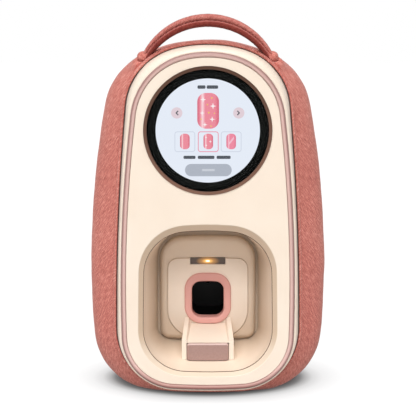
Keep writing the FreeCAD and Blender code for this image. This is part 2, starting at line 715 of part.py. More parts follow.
def front_frame():
    turns = [pi / 2 * step / FRONT_STEPS for step in range(FRONT_STEPS + 1)]
    frame = loft([rim_section(turn) for turn in turns])
    ledge_back = LEDGE_DEPTH + LEDGE_THICKNESS
    room = [(ledge_back, TRIM.offset(-0.5)), (RIM_DEPTH + 1, RIM.offset(-WALL))]
    cuts = [prism(TRIM.offset(PARTING), 0, LEDGE_DEPTH)]
    cuts.append(prism(TRIM.offset(-TRIM_WIDTH - LEDGE_WIDTH), 0, RIM_DEPTH + 1))
    cuts.append(loft(room))
    cuts.append(rod(0, DISPLAY_Z, 0, ledge_back + 1, BEZEL_RADIUS + BEZEL_FLANGE + PARTING))
    frame = frame.cut(cuts)
    bosses = [rod(x, z, ledge_back - 1, RIM_DEPTH, BOSS_RADIUS) for x, z in FRAME_SCREWS]
    frame = frame.fuse(bosses)
    holes = screw_holes(FRAME_SCREWS, ledge_back + 2, RIM_DEPTH + 1)
    holes += screw_holes(PANEL_SCREWS, LEDGE_DEPTH - 1, ledge_back + 1)
    return frame.cut(holes).removeSplitter()


def trim_ring():
    return bead_ring(TRIM, TRIM.offset(-TRIM_WIDTH), 0, LEDGE_DEPTH, TRIM_ROUND)


DISPLAY_Z = TRIM.top - DISPLAY_BELOW_TOP
BEZEL_RADIUS = GLASS_RADIUS + BEZEL_WIDTH


def within_ledge(solid, front, back):
    """The part of a flange that passes inside the frame's ledge."""
    return solid.common(prism(TRIM.offset(-TRIM_WIDTH - LEDGE_WIDTH - PARTING), front, back))


def front_panel():
    panel = prism(PANEL, PANEL_FACE, LEDGE_DEPTH)
    ring = prism(LIP.offset(BOWL_FLANGE), LEDGE_DEPTH - 1, LIP_DEPTH)
    panel = panel.fuse(within_ledge(ring, LEDGE_DEPTH - 1, LIP_DEPTH))
    panel = panel.cut(rod(0, DISPLAY_Z, -1, LEDGE_DEPTH + 1, BEZEL_RADIUS + PARTING))
    lip = [(PANEL_FACE, LIP), (LIP_DEPTH, MOUTH)]
    panel = panel.cut([loft(lip), prism(MOUTH, LIP_DEPTH - 0.01, LIP_DEPTH + 1)])
    holes = screw_holes(PANEL_SCREWS, PANEL_FACE + 1.2, LEDGE_DEPTH)
    holes += screw_holes(BOWL_SCREWS, PANEL_FACE + 1.7, LIP_DEPTH)
    return panel.cut(holes).removeSplitter()


# ================================================================ display
BEZEL_BACK = LEDGE_DEPTH + BEZEL_FLANGE_THICKNESS
CUP_BACK = BEZEL_BACK + CUP_DEPTH
CUP_SCREWS = [(CUP_RADIUS - 3.6, 45.0 + 90.0 * step) for step in range(4)]


def cup_screw_places():
    places = []
    for radius, turn in CUP_SCREWS:
        places.append((radius * cos(radians(turn)), DISPLAY_Z + radius * sin(radians(turn))))
    return places


def display_bezel():
    ring = rod(0, DISPLAY_Z, BEZEL_FACE, LEDGE_DEPTH, BEZEL_RADIUS)
    flange = rod(0, DISPLAY_Z, LEDGE_DEPTH, BEZEL_BACK, BEZEL_RADIUS + BEZEL_FLANGE)
    ring = ring.fuse(flange)
    seat = BEZEL_FACE + 0.5 + GLASS_THICKNESS
    cuts = [rod(0, DISPLAY_Z, -1, seat, GLASS_RADIUS + PARTING)]
    cuts.append(rod(0, DISPLAY_Z, -1, BEZEL_BACK + 1, GLASS_RADIUS - GLASS_SEAT))
    return ring.cut(cuts + screw_holes(cup_screw_places(), seat + 1, BEZEL_BACK + 1))


def display_stack():
    seat = BEZEL_FACE + 0.5 + GLASS_THICKNESS
    glass = rod(0, DISPLAY_Z, seat - GLASS_THICKNESS, seat, GLASS_RADIUS)
    save("display_glass", glass)
    lcd_back = seat + LCD_THICKNESS
    save("lcd_panel", rod(0, DISPLAY_Z, seat, lcd_back, LCD_RADIUS))
    board = rod(0, DISPLAY_Z, lcd_back + SOFT_GAP, lcd_back + SOFT_GAP + BOARD, LCD_RADIUS - 1.5)
    chip = block(-9, 9, lcd_back + SOFT_GAP + BOARD - 0.2, lcd_back + SOFT_GAP + BOARD + 1.4,
                 DISPLAY_Z - 9, DISPLAY_Z + 9)
    save("display_board", board.fuse(chip))
    cup = rod(0, DISPLAY_Z, BEZEL_BACK, CUP_BACK, CUP_RADIUS)
    cup = cup.cut(rod(0, DISPLAY_Z, BEZEL_BACK - 1, CUP_BACK - 2, CUP_RADIUS - 2))
    ears = [rod(x, z, BEZEL_BACK, CUP_BACK - 1, 3.2) for x, z in cup_screw_places()]
    cup = cup.fuse(ears)
    cup = cup.common(rod(0, DISPLAY_Z, BEZEL_BACK, CUP_BACK, CUP_RADIUS))
    holes = screw_holes(cup_screw_places(), BEZEL_BACK - 1, CUP_BACK + 1)
    cup = cup.cut(holes + screw_holes(MAIN_BOARD_SCREWS, CUP_BACK - 1.6, CUP_BACK + 1))
    save("display_cup", cup.removeSplitter())
    return screws(cup_screw_places(), seat + 1.2, CUP_BACK)


MAIN_BOARD_SCREWS = [(x, DISPLAY_Z + rise) for rise in (-30.0, 30.0) for x in both_sides((24.0,))]
MAIN_BOARD_FRONT = CUP_BACK + MAIN_BOARD_STANDOFF


def main_board():
    half = MAIN_BOARD_WIDTH / 2
    low = DISPLAY_Z - MAIN_BOARD_HEIGHT / 2
    top = DISPLAY_Z + MAIN_BOARD_HEIGHT / 2 - 10
    back = MAIN_BOARD_FRONT + BOARD
    board = rounded_block(-half, half, MAIN_BOARD_FRONT, back, low, top, 3.0)
    board = board.cut(screw_holes(MAIN_BOARD_SCREWS, MAIN_BOARD_FRONT - 1, back + 1))
    chips = [
        block(-10, 10, back - 0.2, back + 1.8, DISPLAY_Z - 12, DISPLAY_Z + 8),
        block(-34, -18, back - 0.2, back + 1.4, DISPLAY_Z - 10, DISPLAY_Z + 4),
        block(18, 34, back - 0.2, back + 1.4, DISPLAY_Z - 10, DISPLAY_Z + 4),
        block(-30, 30, back - 0.2, back + 6.0, low + 3, low + 9),
    ]
    save("main_board", board.fuse(chips))
    spacers = []
    for x, z in MAIN_BOARD_SCREWS:
        spacer = rod(x, z, CUP_BACK, MAIN_BOARD_FRONT, 2.8)
        spacers.append(spacer.cut(rod(x, z, CUP_BACK - 1, MAIN_BOARD_FRONT + 1,
                                      SCREW_RADIUS + RUNNING)))
    save("board_spacers", spacers)
    return screws(MAIN_BOARD_SCREWS, CUP_BACK - 1.4, back)


# ================================================================ finger bay
def bowl_sections(inset, front):
    """The bay's inner faces, narrowing towards the back."""
    count = 4
    sections = []
    for step in range(count + 1):
        share = step / count
        depth = front + (BOWL_DEPTH - front) * share
        sections.append((depth, blend(MOUTH, BOWL_BACK, share).offset(-inset)))
    return sections


BOWL_FRONT = LIP_DEPTH + PARTING
BOWL_BACK_FACE = BOWL_DEPTH + BOWL_WALL


def recess_bowl():
    outside = bowl_sections(-BOWL_WALL, BOWL_FRONT)
    bowl = loft(outside + [(BOWL_BACK_FACE, BOWL_BACK.offset(BOWL_WALL))])
    flange = prism(LIP.offset(BOWL_FLANGE), BOWL_FRONT, BOWL_FRONT + BOWL_WALL)
    bowl = bowl.fuse(within_ledge(flange, BOWL_FRONT, BOWL_FRONT + BOWL_WALL))
    cuts = [loft(bowl_sections(0, BOWL_FRONT))]
    cuts.append(prism(PORT.offset(COLLAR_SLEEVE + PARTING), BOWL_DEPTH - 1, BOWL_BACK_FACE + 1))
    cuts.append(block(-4, 4, BOWL_DEPTH - 1, BOWL_BACK_FACE + 1, LED_Z - 2, LED_Z + 2))
    cuts += screw_holes(BOWL_SCREWS, BOWL_FRONT - 1, BOWL_FRONT + BOWL_WALL + 1)
    cuts += screw_holes(BAY_SCREWS, BOWL_DEPTH - 1, BOWL_BACK_FACE + 1)
    return bowl.cut(cuts).removeSplitter()


LED_Z = PLATE.top - LED_HEIGHT / 2


def led_slot(clearance, front, back):
    half = LED_WIDTH / 2 + clearance
    return block(-half, half, front, back, LED_Z - LED_HEIGHT / 2 - clearance,
                 LED_Z + LED_HEIGHT / 2 + clearance)


def bay_block():
    turns = [pi / 2 * step / ROUNDING_STEPS for step in range(ROUNDING_STEPS + 1)]
    sections = []
    for turn in turns:
        depth = BLOCK_DEPTH + BLOCK_ROUND * (1 - cos(turn))
        sections.append((depth, BLOCK.offset(-BLOCK_ROUND * (1 - sin(turn)))))
    solid = loft(sections + [(BOWL_DEPTH, BLOCK)])
    cuts = [prism(PORT.offset(COLLAR_SLEEVE + PARTING), BLOCK_DEPTH - 1, BOWL_DEPTH + 1)]
    groove = prism(PLATE.offset(PLATE_GROOVE), BLOCK_DEPTH - 1, BLOCK_DEPTH + PLATE_GROOVE_DEPTH)
    cuts.append(groove.cut(prism(PLATE, BLOCK_DEPTH - 2, BLOCK_DEPTH + PLATE_GROOVE_DEPTH + 1)))
    cuts.append(led_slot(PARTING, BLOCK_DEPTH - 1, BOWL_DEPTH + 1))
    cuts += screw_holes(BAY_SCREWS, BLOCK_DEPTH + 1.5, BOWL_DEPTH + 1)
    return solid.cut(cuts)


def bay_plate():
    front = BLOCK_DEPTH - PLATE_THICKNESS
    plate = loft([(front, PLATE.offset(-PLATE_CHAMFER)), (front + PLATE_CHAMFER, PLATE),
                  (BLOCK_DEPTH, PLATE)])
    cuts = [prism(PORT.offset(COLLAR_SLEEVE + PARTING), front - 1, BLOCK_DEPTH + 1)]
    cuts.append(led_slot(PARTING, front - 1, BLOCK_DEPTH + 1))
    return plate.cut(cuts)


def led_parts():
    front = BLOCK_DEPTH - PLATE_THICKNESS + 0.4
    back = front + LED_WINDOW_THICKNESS
    half = LED_WIDTH / 2
    window = rounded_block(-half, half, front, back, LED_Z - LED_HEIGHT / 2,
                           LED_Z + LED_HEIGHT / 2, 1.2)
    save("led_window", window)
    board = block(-half + 1, half - 1, back + 1.0, back + 2.2, LED_Z - 2.4, LED_Z + 2.4)
    lamp = block(-1.6, 1.6, back + SOFT_GAP, back + 1.1, LED_Z - 1.2, LED_Z + 1.2)
    plug = block(-3.4, 3.4, back + 2.1, BOWL_BACK_FACE, LED_Z - 1.6, LED_Z + 1.6)
    save("led_board", board.fuse([lamp, plug]))


def finger_port_collar():
    plate_face = BLOCK_DEPTH - PLATE_THICKNESS
    flange = bead_ring(COLLAR, PORT, plate_face - COLLAR_THICKNESS, plate_face, COLLAR_ROUND)
    sleeve = prism(PORT.offset(COLLAR_SLEEVE), plate_face - 0.1, BOWL_BACK_FACE)
    sleeve = sleeve.cut(prism(PORT, plate_face - 1, BOWL_BACK_FACE + 1))
    return flange.fuse(sleeve).removeSplitter()


CHAMBER_INNER = PORT.offset(CHAMBER_MARGIN)
CHAMBER_OUTER = CHAMBER_INNER.offset(CHAMBER_WALL)
CHAMBER_BACK = BOWL_BACK_FACE + CHAMBER_LENGTH
PRINT_WINDOW = (82.0, 108.0)
CAMERA_Z = PORT_Z + 6.0


def print_chamber():
    chamber = prism(CHAMBER_OUTER, BOWL_BACK_FACE, CHAMBER_BACK)
    cuts = [prism(CHAMBER_INNER, BOWL_BACK_FACE - 1, CHAMBER_BACK - CHAMBER_WALL)]
    cuts.append(block(-11, 11, PRINT_WINDOW[0], PRINT_WINDOW[1], PORT_Z + 10, PORT_Z + 30))
    cuts.append(rod(0, CAMERA_Z, CHAMBER_BACK - 5, CHAMBER_BACK + 1, 3.2))
    return chamber.cut(cuts)


def camera_module():
    body = block(-5, 5, CHAMBER_BACK, CHAMBER_BACK + 5, CAMERA_Z - 5, CAMERA_Z + 5)
    return body.fuse(rod(0, CAMERA_Z, CHAMBER_BACK - 1.4, CHAMBER_BACK + 1, 3.0))


# ================================================================ finger rest
def bay_room(inset, shift):
    """The bay's inside less a gap, moved along the depth."""
    room = loft(bowl_sections(inset, BOWL_FRONT))
    room.translate(V(0, shift, 0))
    return room


def rest_section(depth, half, bed, rail, low):
    """Trough cross-section with two side rails."""
    inner = half - REST_RAIL
    y = at(depth)
    points = [(-half, low), (half, low), (half, bed + rail), (inner + 0.6, bed + rail),
              (inner - 0.8, bed), (-inner + 0.8, bed), (-inner - 0.6, bed + rail),
              (-half, bed + rail)]
    corners = [V(x, y, z) for x, z in points]
    return Part.makePolygon(corners + corners[:1])


REST_BACK = BLOCK_DEPTH - PLATE_THICKNESS - SOFT_GAP
BUTTON_FRONT = REST_FRONT - BUTTON_PROUD
BUTTON_BACK = BUTTON_FRONT + BUTTON_THICKNESS
BUTTON_HALF = BUTTON_WIDTH / 2
POCKET_BACK = BUTTON_BACK + BUTTON_TRAVEL + SOFT_GAP
STEM_Z = 43.6
SWITCH_FRONT = BUTTON_BACK + STEM_LENGTH + BUTTON_TRAVEL + SOFT_GAP


def finger_rest():
    low = MOUTH.bottom - REST_SINK
    front = rest_section(REST_FRONT, REST_FRONT_HALF, REST_FRONT_BED, REST_FRONT_RAIL, low)
    rear = rest_section(REST_BACK, REST_REAR_HALF, REST_REAR_BED, REST_REAR_RAIL, low)
    rest = Part.makeLoft([front, rear], True, True)
    rest = rest.common(bay_room(SOFT_GAP, 0))
    cuts = [block(-BUTTON_HALF - SOFT_GAP, BUTTON_HALF + SOFT_GAP, REST_FRONT - 5, POCKET_BACK,
                  0, BUTTON_TOP + SOFT_GAP)]
    cuts.append(prism(COLLAR.offset(SOFT_GAP), REST_BACK - 4.0, REST_BACK + 1))
    cuts.append(rod(0, STEM_Z, POCKET_BACK - 1, SWITCH_FRONT + 4, STEM_RADIUS + 0.08))
    cuts.append(rod(0, STEM_Z, POCKET_BACK - 1, POCKET_BACK + 3, SPRING_RADIUS + 1.0))
    return rest.cut(cuts).removeSplitter()


def rest_button():
    cap = rounded_block(-BUTTON_HALF, BUTTON_HALF, BUTTON_FRONT, BUTTON_BACK,
                        BUTTON_TOP - BUTTON_REACH, BUTTON_TOP, BUTTON_CORNER)
    face = [e for e in cap.Edges if all(abs(v.Y - at(BUTTON_FRONT)) < 1e-6 for v in e.Vertexes)]
    cap = cap.makeFillet(BUTTON_ROUND, face)
    cap = cap.common(bay_room(SOFT_GAP, -BUTTON_TRAVEL))
    return cap.fuse(rod(0, STEM_Z, BUTTON_BACK - 0.5, BUTTON_BACK + STEM_LENGTH, STEM_RADIUS))


def rest_button_spring():
    start = BUTTON_BACK + SPRING_WIRE + 0.1
    length = POCKET_BACK + 3 - SPRING_WIRE - 0.1 - start
    radius = SPRING_RADIUS
    helix = Part.makeHelix(length / SPRING_TURNS, length, radius)
    section = Part.Wire([Part.Circle(V(radius, 0, 0), Y, SPRING_WIRE).toShape()])
    coil = Part.Wire(helix).makePipeShell([section], True, True)
    coil.rotate(V(0, 0, 0), X, -90)
    coil.translate(V(0, at(start), STEM_Z))
    return coil


def rest_button_switch():
    back = SWITCH_FRONT + 4
    return rod(0, STEM_Z, SWITCH_FRONT, back, STEM_RADIUS - 0.2)


# ================================================================ underside
def base_plate():
    plate = rounded_plate(BASE_HALF, BASE_DEPTHS[0], BASE_DEPTHS[1], FOOT_HEIGHT,
                          FOOT_HEIGHT + BASE_THICKNESS, BASE_CORNER)
    cuts = []
    for x, depth in BASE_SCREWS:
        cuts.append(post(x, depth, 0, 10, SCREW_RADIUS + RUNNING))
        cuts.append(post(x, depth, 0, FOOT_HEIGHT + HEAD_HEIGHT, HEAD_RADIUS + 0.2))
    return plate.cut(cuts + speaker_holes())


def feet():
    places = [(x, depth) for depth in FOOT_DEPTHS for x in both_sides((FOOT_X,))]
    return [post(x, depth, 0, FOOT_HEIGHT, FOOT_RADIUS) for x, depth in places]


def base_screws():
    solids = []
    for x, depth in BASE_SCREWS:
        head = post(x, depth, FOOT_HEIGHT, FOOT_HEIGHT + HEAD_HEIGHT, HEAD_RADIUS)
        solids.append(head.fuse(post(x, depth, FOOT_HEIGHT, 11.5, SCREW_RADIUS)))
    return solids


def battery_pack():
    half = BATTERY_HALF
    solid = block(-half, half, BATTERY_DEPTHS[0], BATTERY_DEPTHS[1], INSIDE_FLOOR,
                  INSIDE_FLOOR + BATTERY_HEIGHT)
    edges = [e for e in solid.Edges if abs(e.Vertexes[0].X - e.Vertexes[1].X) > 1e-6]
    return solid.makeFillet(BATTERY_HEIGHT / 2 - 3, edges)


def speaker():
    floor = skin(SPEAKER_DEPTH).offset(-INNER_INSET).bottom_at(SPEAKER_RADIUS) + SOFT_GAP
    body = post(0, SPEAKER_DEPTH, floor, floor + SPEAKER_HEIGHT - 2, SPEAKER_RADIUS)
    magnet = post(0, SPEAKER_DEPTH, floor, floor + SPEAKER_HEIGHT, SPEAKER_RADIUS * 0.5)
    return body.fuse(magnet)


# ================================================================ rear panel and door
REAR_SCREWS = [(x, z) for z in (REAR_BOTTOM + 8, REAR_TOP - 8) for x in both_sides((38.0,))]
PANEL_FRONT = SHELL_BACK
HINGE_Z = DOOR_BOTTOM + DOOR_BARREL
HINGE_DEPTH = BODY_DEPTH - DOOR_BARREL - 0.1
BARREL_HALF = DOOR_HALF - 6.0
HINGE_LUG = 5.0


def rear_panel():
    panel = rear_opening(0, PANEL_FRONT, BODY_DEPTH)
    cuts = [doorway(-DOOR_GAP, PANEL_FRONT - 1, BODY_DEPTH + 1)]
    cuts.append(rod(POWER_BUTTON_X, CONTROLS_Z, PANEL_FRONT - 1, BODY_DEPTH + 1,
                    POWER_BUTTON_RADIUS + SOFT_GAP))
    cuts.append(socket_hole(SOFT_GAP, PANEL_FRONT - 1))
    for x, z in REAR_SCREWS:
        cuts.append(rod(x, z, PANEL_FRONT - 1, BODY_DEPTH + 1, SCREW_RADIUS + RUNNING))
        cuts.append(rod(x, z, BODY_DEPTH - HEAD_HEIGHT, BODY_DEPTH + 1, HEAD_RADIUS + 0.2))
    panel = panel.cut(cuts)
    lugs = []
    for side in (-1, 1):
        inner = side * (BARREL_HALF + SOFT_GAP)
        outer = side * (BARREL_HALF + SOFT_GAP + HINGE_LUG)
        lugs.append(cross_rod(min(inner, outer), max(inner, outer), HINGE_DEPTH, HINGE_Z,
                              DOOR_BARREL))
        lugs.append(block(min(inner, outer), max(inner, outer), PANEL_FRONT, BODY_DEPTH - 1.2,
                          DOOR_BOTTOM - DOOR_GAP - 0.5, HINGE_Z))
    panel = panel.fuse(lugs)
    pin_hole = cross_rod(-BARREL_HALF - 5, BARREL_HALF + 5, HINGE_DEPTH, HINGE_Z,
                         DOOR_PIN + RUNNING)
    return panel.cut(pin_hole).removeSplitter()


def rear_screws():
    solids = []
    for x, z in REAR_SCREWS:
        head = rod(x, z, BODY_DEPTH - HEAD_HEIGHT, BODY_DEPTH, HEAD_RADIUS)
        solids.append(head.fuse(rod(x, z, INNER_BACK, BODY_DEPTH - HEAD_HEIGHT, SCREW_RADIUS)))
    return solids


def cartridge_door():
    leaf = rounded_block(-DOOR_HALF, DOOR_HALF, BODY_DEPTH - DOOR_THICKNESS, BODY_DEPTH,
                         DOOR_BOTTOM, DOOR_TOP, DOOR_CORNER)
    leaf = leaf.cut(block(-DOOR_HALF - 1, DOOR_HALF + 1, BODY_DEPTH - 9, BODY_DEPTH + 1,
                          DOOR_BOTTOM - 1, HINGE_Z + DOOR_BARREL + 0.6))
    web = block(-BARREL_HALF, BARREL_HALF, BODY_DEPTH - DOOR_THICKNESS, BODY_DEPTH - 0.1,
                HINGE_Z, HINGE_Z + DOOR_BARREL + 1)
    barrel = cross_rod(-BARREL_HALF, BARREL_HALF, HINGE_DEPTH, HINGE_Z, DOOR_BARREL)
    door = leaf.fuse([web, barrel])
    pull = Part.makeCylinder(9.0, 3, V(0, at(BODY_DEPTH - 0.8), DOOR_TOP + 2), Y)
    pin_hole = cross_rod(-BARREL_HALF - 1, BARREL_HALF + 1, HINGE_DEPTH, HINGE_Z,
                         DOOR_PIN + RUNNING)
    return door.cut([pull, pin_hole]).removeSplitter()


def door_hinge_pin():
    reach = BARREL_HALF + HINGE_LUG - 0.4
    return cross_rod(-reach, reach, HINGE_DEPTH, HINGE_Z, DOOR_PIN)


POWER_CAP_BACK = BODY_DEPTH - 0.3
POWER_FLANGE = 1.2


def power_button():
    cap = rod(POWER_BUTTON_X, CONTROLS_Z, SHELL_BACK - 1.6, POWER_CAP_BACK, POWER_BUTTON_RADIUS)
    flange = rod(POWER_BUTTON_X, CONTROLS_Z, SHELL_BACK - SOFT_GAP - POWER_FLANGE,
                 SHELL_BACK - SOFT_GAP, POWER_BUTTON_RADIUS + 1.4)
    return cap.fuse(flange).removeSplitter()


def port_board():
    front = PORT_BOARD_BACK - BOARD
    board = rounded_block(-PORT_BOARD_HALF, PORT_BOARD_HALF, front, PORT_BOARD_BACK,
                          CONTROLS_Z - PORT_BOARD_RISE, CONTROLS_Z + PORT_BOARD_RISE, 2.0)
    board = board.cut(screw_holes(BOARD_POSTS, front - 1, PORT_BOARD_BACK + 1))
    save("port_board", board)
    solids = []
    for x, z in BOARD_POSTS:
        shank = rod(x, z, front, INNER_BACK - 0.6, SCREW_RADIUS)
        solids.append(shank.fuse(rod(x, z, front - HEAD_HEIGHT, front, HEAD_RADIUS)))
    pressed = SHELL_BACK - 1.6 - POWER_BUTTON_TRAVEL - 0.2
    switch = block(POWER_BUTTON_X - 3, POWER_BUTTON_X + 3, PORT_BOARD_BACK, pressed - 1.0,
                   CONTROLS_Z - 3, CONTROLS_Z + 3)
    switch = switch.fuse(rod(POWER_BUTTON_X, CONTROLS_Z, pressed - 1.2, pressed, 1.6))
    save("power_switch", switch)
    return solids


def power_socket():
    half_width = SOCKET_WIDTH / 2
    half_height = SOCKET_HEIGHT / 2
    body = rounded_block(SOCKET_X - half_width, SOCKET_X + half_width, PORT_BOARD_BACK,
                         BODY_DEPTH - 0.4, CONTROLS_Z - half_height, CONTROLS_Z + half_height,
                         half_height - 0.02)
    wall = SOCKET_WALL
    inside = rounded_block(SOCKET_X - half_width + wall, SOCKET_X + half_width - wall,
                           BODY_DEPTH - 6.5, BODY_DEPTH, CONTROLS_Z - half_height + wall,
                           CONTROLS_Z + half_height - wall, half_height - wall - 0.02)
    tongue = block(SOCKET_X - 3.3, SOCKET_X + 3.3, BODY_DEPTH - 7, BODY_DEPTH - 1.2,
                   CONTROLS_Z - 0.35, CONTROLS_Z + 0.35)
    return body.cut(inside).fuse(tongue)


# ================================================================ print unit
RAIL_HEIGHT = PORT_Z + RAIL_Z
LEAD_HEIGHT = PORT_Z + SCREW_Z
ROD_LOW = PORT_Z + ROD_LOW_Z
ROD_HIGH = PORT_Z + ROD_HIGH_Z
BELT_HEIGHT = PORT_Z + BELT_Z
CHASSIS_SCREWS = SHELL_POSTS
BEAM_FRONT = SLIDE_DEPTHS[1] - 3.0
BELT_BACK = BEAM_FRONT - 1.4
BELT_FRONT = BELT_BACK - BELT_WIDTH


def print_chassis():
    front, back = CHASSIS_DEPTHS
    floor = block(-CHASSIS_HALF, CHASSIS_HALF, front, back, CHASSIS_FLOOR, CHASSIS_FLOOR + SHEET)
    top = RAIL_HEIGHT + 8
    adds = []
    for side in (-1, 1):
        x0, x1 = sorted((side * CHASSIS_HALF, side * (CHASSIS_HALF - SHEET)))
        adds.append(block(x0, x1, front, back, CHASSIS_FLOOR, top))
        low = LEAD_HEIGHT - 8 if side < 0 else RAIL_HEIGHT - 8
        x0, x1 = sorted((side * CHASSIS_HALF, side * (RAIL_X - 7)))
        adds.append(block(x0, x1, front, front + LUG_PLATE, low, top))
        adds.append(block(x0, x1, back - LUG_PLATE, back, low, top))
    chassis = floor.fuse(adds)
    cuts = []
    for side in (-1, 1):
        cuts.append(rod(side * RAIL_X, RAIL_HEIGHT, front - 1, back + 1, RAIL_RADIUS + RUNNING))
    cuts.append(rod(-RAIL_X, LEAD_HEIGHT, front - 1, back + 1, LEAD_RADIUS + RUNNING))
    for x, depth in CHASSIS_SCREWS:
        cuts.append(post(x, depth, CHASSIS_FLOOR - 1, CHASSIS_FLOOR + SHEET + 1,
                         SCREW_RADIUS + RUNNING))
    return chassis.cut(cuts).removeSplitter()


def chassis_screws():
    solids = []
    for x, depth in CHASSIS_SCREWS:
        head_z = CHASSIS_FLOOR + SHEET
        head = post(x, depth, head_z, head_z + HEAD_HEIGHT, HEAD_RADIUS)
        solids.append(head.fuse(post(x, depth, CHASSIS_FLOOR - 7, head_z, SCREW_RADIUS)))
    return solids


def slide_rails():
    front, back = CHASSIS_DEPTHS
    return [rod(x, RAIL_HEIGHT, front, back, RAIL_RADIUS) for x in both_sides((RAIL_X,))]


def lead_screw():
    front, back = CHASSIS_DEPTHS
    return rod(-RAIL_X, LEAD_HEIGHT, front - 6, back, LEAD_RADIUS)


def stage_motor():
    front = CHASSIS_DEPTHS[0]
    motor = rod(-RAIL_X, LEAD_HEIGHT, front - STAGE_MOTOR_LENGTH, front, MOTOR_RADIUS)
    return motor.cut(rod(-RAIL_X, LEAD_HEIGHT, front - 7, front + 1, LEAD_RADIUS + RUNNING))


def cross_slide():
    front, back = SLIDE_DEPTHS
    low = ROD_LOW - 6
    top = ROD_HIGH + 6
    adds = []
    for side in (-1, 1):
        x0, x1 = sorted((side * SLIDE_INNER, side * SLIDE_OUTER))
        bottom = LEAD_HEIGHT - 7 if side < 0 else low
        adds.append(block(x0, x1, front, back, bottom, top))
    beam = block(-SLIDE_INNER - 1, SLIDE_INNER + 1, BEAM_FRONT, back, low, top)
    slide = beam.fuse(adds)
    cuts = [rod(-RAIL_X, LEAD_HEIGHT, front - 1, back + 1, LEAD_RADIUS + RUNNING)]
    for x in both_sides((RAIL_X,)):
        cuts.append(rod(x, RAIL_HEIGHT, front - 1, back + 1, RAIL_RADIUS + RUNNING))
    for z in (ROD_LOW, ROD_HIGH):
        cuts.append(cross_rod(-SLIDE_INNER - ROD_SOCKET, SLIDE_INNER + ROD_SOCKET, ROD_DEPTH, z,
                              ROD_RADIUS + RUNNING))
    cuts.append(rod(-PULLEY_X, BELT_HEIGHT, BEAM_FRONT - 1, back + 1, SHAFT_RADIUS + 0.5))
    cuts.append(rod(PULLEY_X, BELT_HEIGHT, BEAM_FRONT - 1, back + 1, SHAFT_RADIUS + RUNNING))
    return slide.cut(cuts).removeSplitter()


def guide_rods():
    reach = SLIDE_INNER + ROD_SOCKET - 0.2
    return [cross_rod(-reach, reach, ROD_DEPTH, z, ROD_RADIUS) for z in (ROD_LOW, ROD_HIGH)]


def belt_motor():
    back = SLIDE_DEPTHS[1]
    motor = rod(-PULLEY_X, BELT_HEIGHT, back, back + MOTOR_LENGTH, MOTOR_RADIUS)
    return motor.cut(rod(-PULLEY_X, BELT_HEIGHT, back - 1, back + 6, SHAFT_RADIUS + RUNNING))


def pulley(x):
    front = BELT_FRONT - SOFT_GAP - PULLEY_FLANGE
    back = BELT_BACK + SOFT_GAP + PULLEY_FLANGE
    wheel = rod(x, BELT_HEIGHT, front, back, BELT_RADIUS - 0.1)
    rim = BELT_RADIUS + BELT_THICKNESS + 0.8
    rims = [rod(x, BELT_HEIGHT, front, front + PULLEY_FLANGE, rim)]
    rims.append(rod(x, BELT_HEIGHT, back - PULLEY_FLANGE, back, rim))
    return wheel.fuse(rims), front, back


def motor_pulley():
    wheel, front, back = pulley(-PULLEY_X)
    shaft = rod(-PULLEY_X, BELT_HEIGHT, front, SLIDE_DEPTHS[1] + 5.5, SHAFT_RADIUS)
    return wheel.fuse(shaft).removeSplitter()


def idler_pulley():
    wheel, front, back = pulley(PULLEY_X)
    return wheel.cut(rod(PULLEY_X, BELT_HEIGHT, front - 1, back + 1, SHAFT_RADIUS + RUNNING))


def idler_axle():
    front = BELT_FRONT - SOFT_GAP - PULLEY_FLANGE
    head = rod(PULLEY_X, BELT_HEIGHT, front - 1.3, front - SOFT_GAP, SHAFT_RADIUS + 1.2)
    return head.fuse(rod(PULLEY_X, BELT_HEIGHT, front - 1, SLIDE_DEPTHS[1], SHAFT_RADIUS))


def belt_loop(radius, front, back):
    """Stadium around both pulleys."""
    ends = [rod(x, BELT_HEIGHT, front, back, radius) for x in both_sides((PULLEY_X,))]
    middle = block(-PULLEY_X, PULLEY_X, front, back, BELT_HEIGHT - radius, BELT_HEIGHT + radius)
    return middle.fuse(ends).removeSplitter()


def drive_belt():
    outside = belt_loop(BELT_RADIUS + BELT_THICKNESS, BELT_FRONT, BELT_BACK)
    return outside.cut(belt_loop(BELT_RADIUS, BELT_FRONT - 1, BELT_BACK + 1))


NOZZLE_Z = CHAMBER_OUTER.top + CARTRIDGE_GAP
CARTRIDGE_TOP = NOZZLE_Z + CARTRIDGE_HEIGHT
CUP_HALF = CARTRIDGE_HALF + SOFT_GAP + CUP_WALL
CUP_FRONT = CARTRIDGE_DEPTHS[0] - SOFT_GAP - CUP_WALL
CUP_REAR = CARTRIDGE_DEPTHS[1] + SOFT_GAP + CUP_WALL
CUP_LOW = NOZZLE_Z + 4.0
CUP_TOP = NOZZLE_Z + 36.0
LATCH_X = CUP_HALF + 2.6
LATCH_Z = CARTRIDGE_TOP + SOFT_GAP + 1.0
LATCH_DEPTH = sum(CARTRIDGE_DEPTHS) / 2


def ink_cartridge():
    front, back = CARTRIDGE_DEPTHS
    half = CARTRIDGE_HALF
    body = rounded_block(-half, half, front, back, CUP_LOW + 2.0 + SOFT_GAP, CARTRIDGE_TOP, 2.0)
    nose = block(-half + 4, half - 4, front + 3, back - 3, NOZZLE_Z, CUP_LOW + 3.5)
    return body.fuse(nose).removeSplitter()


